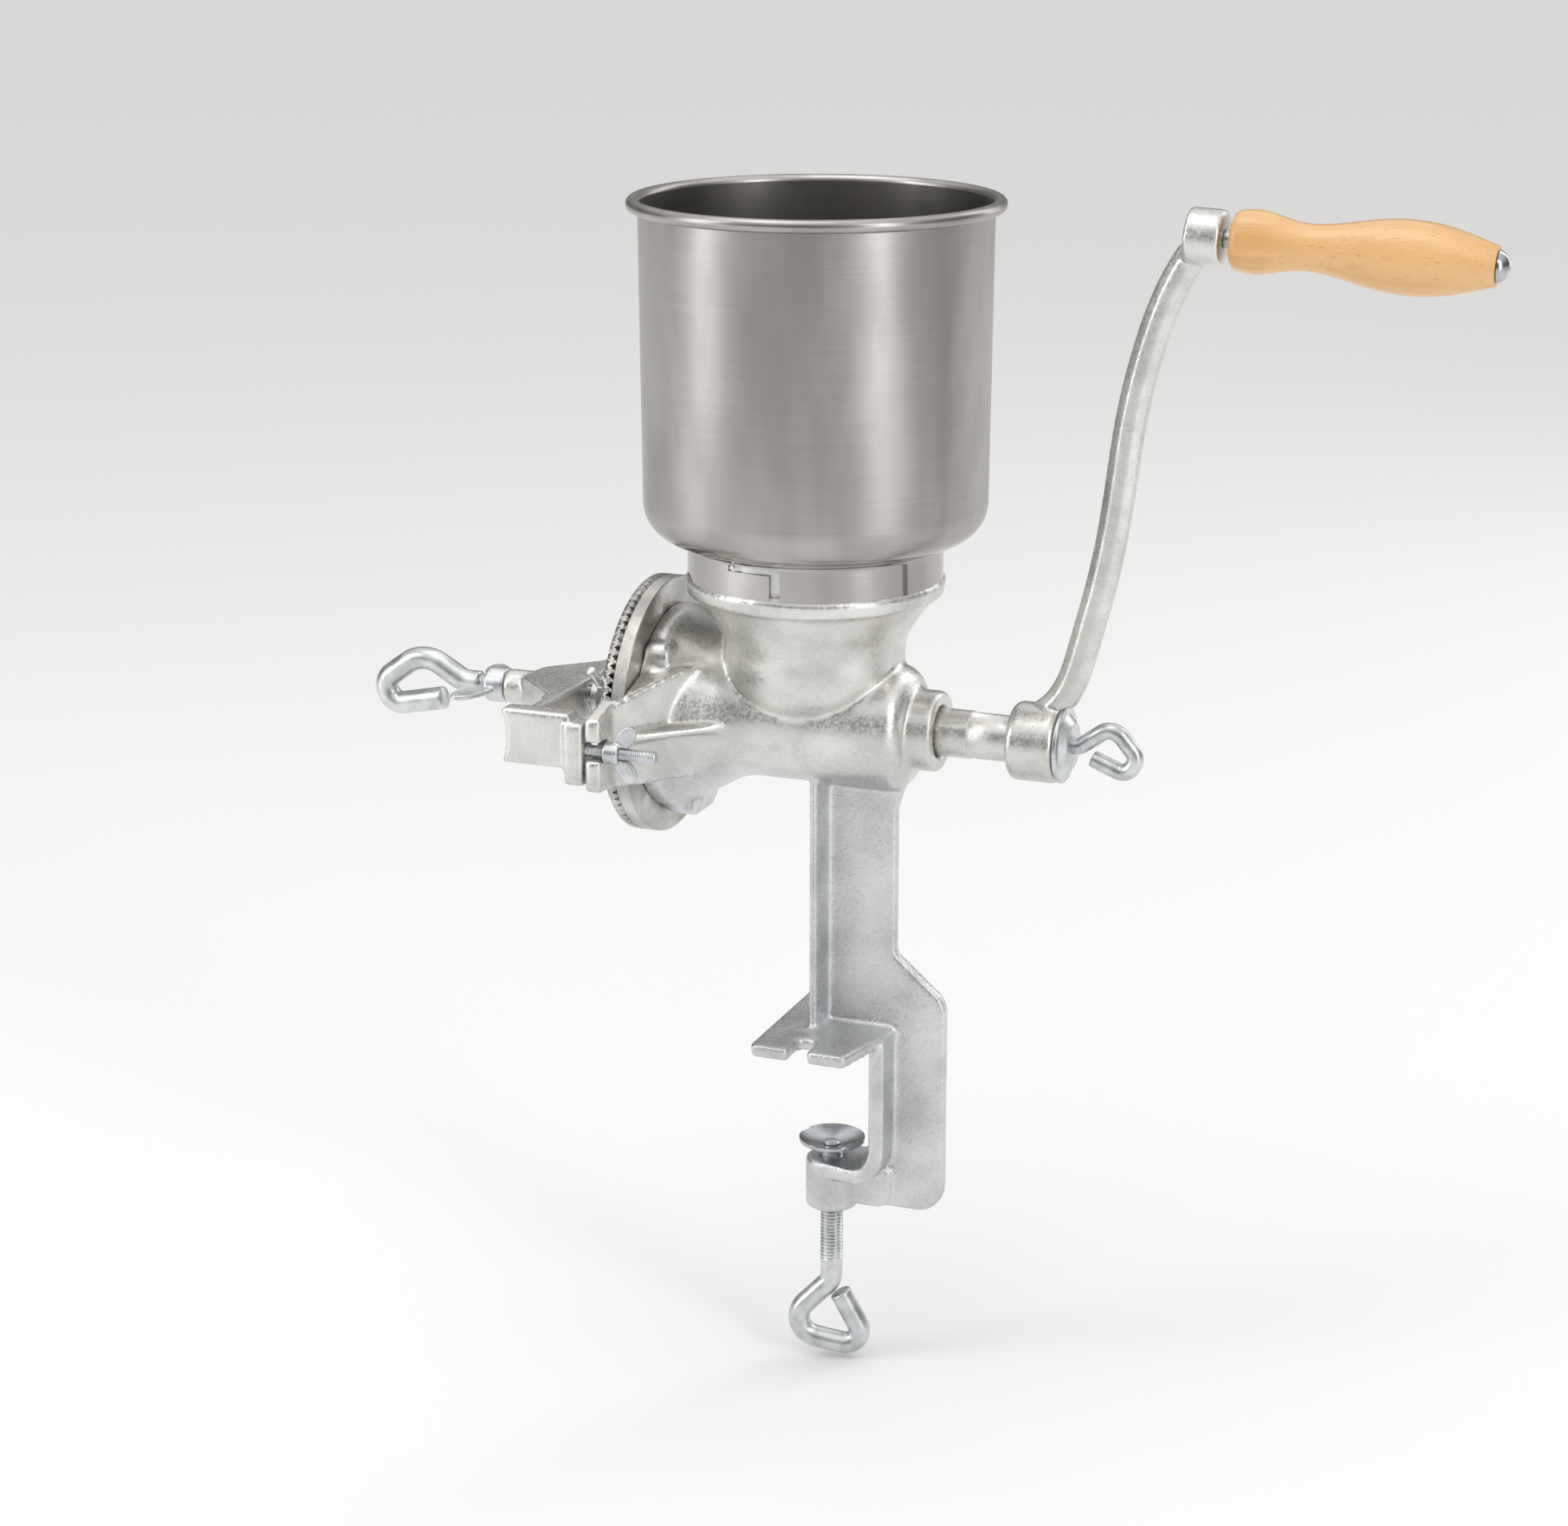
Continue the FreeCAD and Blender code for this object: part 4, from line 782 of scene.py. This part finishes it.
@dataclass
class YokeBolt:
    """Bolt with a bar head and a threaded tail."""

    side: int
    y: float = 66.5
    z: float = 127.4
    head_x: float = -88.5
    end_x: float = -47.5
    radius: float = 2.4
    half: float = 4.8
    inner_y: float = 62.0
    outer_y: float = 69.3

    def build(self, name: str, node: str, finishes: dict) -> bpy.types.Object:
        """Head: a squircle profile, |y|^6 + |z|^6 = 1, lofted along the bolt."""
        turn = np.linspace(0, 2 * math.pi, 64, endpoint=False)
        reach = (np.abs(np.cos(turn)) ** 6 + np.abs(np.sin(turn)) ** 6) ** (-1 / 6)
        wide = (self.outer_y - self.inner_y) / 2
        centre = self.side * (self.outer_y + self.inner_y) / 2
        along = np.array([0, 0, 0.4, 3.5, 3.9, 3.9])[:, None]
        size = np.array([0, 0.92, 1, 1, 0.92, 0])[:, None]
        y = centre + wide * size * reach * np.cos(turn)
        z = self.z + self.half * size * reach * np.sin(turn)
        head = np.stack([self.head_x + along + 0 * y, y, z], -1).reshape(-1, 3)
        rod = threaded(self.head_x + 0.4, self.end_x, self.radius, 0.34, 0.8,
                       Vector((0, self.side * self.y, self.z)), Vector((1, 0, 0)), 32)
        piece = written(name, [(head, quads(6, 64)), rod])
        return dressed(piece, Slot.ZINC, finishes, "frame", node)


@dataclass
class SmallTurnings:
    """The crank's crowned washer and the clamp's dished cup."""

    bore: float = 3.38
    rim: float = 1.6
    crown: float = 4.6
    crown_radius: float = 10.0
    cup_radius: float = 13.6
    cup_depth: float = 3.4
    cup_sheet: float = 1.4
    cup_base: float = -51.8
    stud: float = 2.08

    def build(self, finishes: dict) -> None:
        """Washer: rounded profile.  Cup: two spheres a sheet apart with a rolled lip."""
        low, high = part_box("crank_washer")
        outline = rounded([
            (low.x / MM, self.bore, 0),
            (low.x / MM, high.z / MM - 130.0, 0.3),
            (low.x / MM + self.rim, high.z / MM - 130.0, 0.6),
            (low.x / MM + self.rim, self.crown_radius + 2, 0.8),
            (low.x / MM + self.crown, self.crown_radius - 1, 1.2),
            (low.x / MM + self.crown, self.bore, 0),
            (low.x / MM, self.bore, 0),
        ], 6)
        shell = spun(outline, Vector((0, 0, 130.0)), Vector((1, 0, 0)), 96)
        washer = written("crank_washer_crowned", [shell])
        dressed(washer, Slot.ZINC, finishes, "rotor", "crank_washer")
        ball = (self.cup_radius ** 2 + self.cup_depth ** 2) / (2 * self.cup_depth)
        rim = self.cup_base + self.cup_sheet + self.cup_depth
        centre = rim - self.cup_depth + ball
        radius = np.linspace(self.stud, self.cup_radius - 0.25, 30)
        inner = np.stack([centre - np.sqrt(ball ** 2 - radius ** 2), radius], -1)
        outer = np.stack([centre - np.sqrt((ball + self.cup_sheet) ** 2 - radius ** 2), radius], -1)
        lip = np.array([[rim - 0.05, self.cup_radius - 0.15], [rim - 0.5, self.cup_radius]])
        profile = np.concatenate([inner, lip, outer[::-1], inner[:1]])
        cup = written("clamp_cup_dished", [spun(profile, Vector((0, 0, 0)), Vector((0, 0, 1)), 96)], 45)
        dressed(cup, Slot.POLISHED, finishes, "clamp_pad", "clamp_cup")


# --------------------------------------------------------------------------- stage
@dataclass
class Studio:
    """Pale floor, soft lights and the camera."""

    eye: tuple = (459.1, -1213.2, 496.5)
    azimuth: float = 21.6
    pitch: float = -16.5
    lens: float = 78.3
    floor_z: float = -146.0
    floor_half: float = 16000.0
    horizon: float = 0.18
    zenith: float = 1.1
    left_power: float = 12.0
    right_power: float = 9.5
    back_power: float = 7.0
    top_power: float = 6.0

    def build_camera(self) -> None:
        """Camera at the front, a little to the right and above."""
        data = bpy.data.cameras.new("camera")
        data.lens = self.lens
        data.sensor_width = 36.0
        data.sensor_fit = "HORIZONTAL"
        data.clip_start, data.clip_end = 0.05, 30.0
        camera = bpy.data.objects.new("camera", data)
        camera.location = Vector(self.eye) * MM
        camera.rotation_euler = Euler((math.radians(90 + self.pitch), 0, math.radians(self.azimuth)))
        bpy.context.scene.collection.objects.link(camera)
        bpy.context.scene.camera = camera

    def softbox(self, name: str, place: tuple, aim: tuple, size: tuple, power: float) -> None:
        """One area light that faces aim."""
        data = bpy.data.lights.new(name, "AREA")
        data.shape = "RECTANGLE"
        data.size, data.size_y = size
        data.energy = power
        lamp = bpy.data.objects.new(name, data)
        lamp.location = place
        lamp.rotation_euler = (Vector(aim) - Vector(place)).to_track_quat("-Z", "Y").to_euler()
        bpy.context.scene.collection.objects.link(lamp)

    def build_dome(self) -> None:
        """Surrounding light: bright overhead, dim towards the horizon.

        Strength is horizon + (zenith - horizon) * smoothstep of the direction's height.
        """
        world = bpy.data.worlds.new("studio")
        world.use_nodes = True
        tree = world.node_tree
        where = tree.nodes.new("ShaderNodeTexCoord")
        split = tree.nodes.new("ShaderNodeSeparateXYZ")
        ramp = tree.nodes.new("ShaderNodeMapRange")
        ramp.interpolation_type = "SMOOTHSTEP"
        for name, value in zip(("From Min", "From Max", "To Min", "To Max"),
                               (0.25, 0.80, self.horizon, self.zenith)):
            ramp.inputs[name].default_value = value
        tree.links.new(where.outputs["Generated"], split.inputs[0])
        tree.links.new(split.outputs["Z"], ramp.inputs["Value"])
        tree.links.new(ramp.outputs[0], tree.nodes["Background"].inputs["Strength"])
        tree.nodes["Background"].inputs["Color"].default_value = (1.0, 0.995, 0.985, 1)
        bpy.context.scene.world = world

    def build(self) -> None:
        """Floor, background light and softboxes."""
        side = np.array([-self.floor_half, self.floor_half])
        corners = np.array([[side[0], side[0], self.floor_z], [side[1], side[0], self.floor_z],
                            [side[1], side[1], self.floor_z], [side[0], side[1], self.floor_z]])
        floor = written("floor", [(corners, np.array([[0, 1, 2, 3]]))])
        g = Graph("floor_paint")
        g.shader.inputs["Base Color"].default_value = (0.84, 0.84, 0.84, 1)
        g.shader.inputs["Roughness"].default_value = 0.75
        floor.data.materials.append(g.material)
        self.build_dome()
        aim = (0.0, 0.0, 0.15)
        self.softbox("left_box", (-1.5, -1.1, 0.75), aim, (0.7, 1.6), self.left_power)
        self.softbox("right_box", (1.6, -0.85, 0.75), aim, (0.45, 1.6), self.right_power)
        self.softbox("back_box", (0.95, 1.6, 0.9), aim, (0.7, 1.6), self.back_power)
        self.softbox("top_box", (-0.3, -0.3, 1.9), aim, (1.2, 1.0), self.top_power)
        self.build_camera()
        bpy.context.scene.view_settings.view_transform = "Standard"


def make_finishes() -> dict:
    """Every finish, by the record's slot."""
    zinc = PlatedSteel("zinc_steel", (0.70, 0.72, 0.73, 1), (0.50, 0.52, 0.53, 1), 0.28)
    polished = PlatedSteel("polished_steel", (0.55, 0.57, 0.59, 1), (0.38, 0.40, 0.42, 1), 0.12)
    return {
        Slot.IRON: TinnedIron().material(),
        Slot.BURR: BurrIron().material(),
        Slot.STAINLESS: Stainless().material(),
        Slot.ZINC: zinc.material(),
        Slot.POLISHED: polished.material(),
        Slot.WOOD: LacqueredWood().material(),
    }


def main() -> None:
    """Builds every sub-assembly, then the stage."""
    finishes = make_finishes()
    for casting in (
        Casting("mill_body", "frame", 1.1, 5),
        Casting("yoke", "frame", 0.9, 5),
        Casting("crank_arm", "rotor", 0.8, 5),
        Casting("lock_wing_nut", "lock_nut", 0.45, 3, Slot.ZINC),
        Casting("wing_nut_near", "near_nut", 0.4, 2, Slot.ZINC),
        Casting("wing_nut_far", "far_nut", 0.4, 2, Slot.ZINC),
    ):
        casting.build(finishes)
    for turned in (
        Machined("stationary_burr", "frame", Slot.BURR),
        Machined("burr_screws", "frame", Slot.ZINC),
        Machined("rotating_burr", "rotor", Slot.BURR),
        Machined("drive_pin", "rotor", Slot.ZINC),
        Machined("auger_shaft", "rotor", Slot.IRON),
        Machined("thrust_ball", "ball", Slot.POLISHED),
    ):
        turned.build(finishes)
    Hopper().build(finishes)
    Handle().build(finishes)
    screws = HandScrews()
    screws.build_adjusting(finishes)
    screws.build_clamp(finishes)
    screws.build_crank(finishes)
    YokeBolt(-1).build("t_bolt_near_threaded", "t_bolt_near", finishes)
    YokeBolt(1).build("t_bolt_far_threaded", "t_bolt_far", finishes)
    SmallTurnings().build(finishes)
    Studio().build()


if __name__ == "__main__":
    logging.basicConfig(level=logging.INFO)
    main()
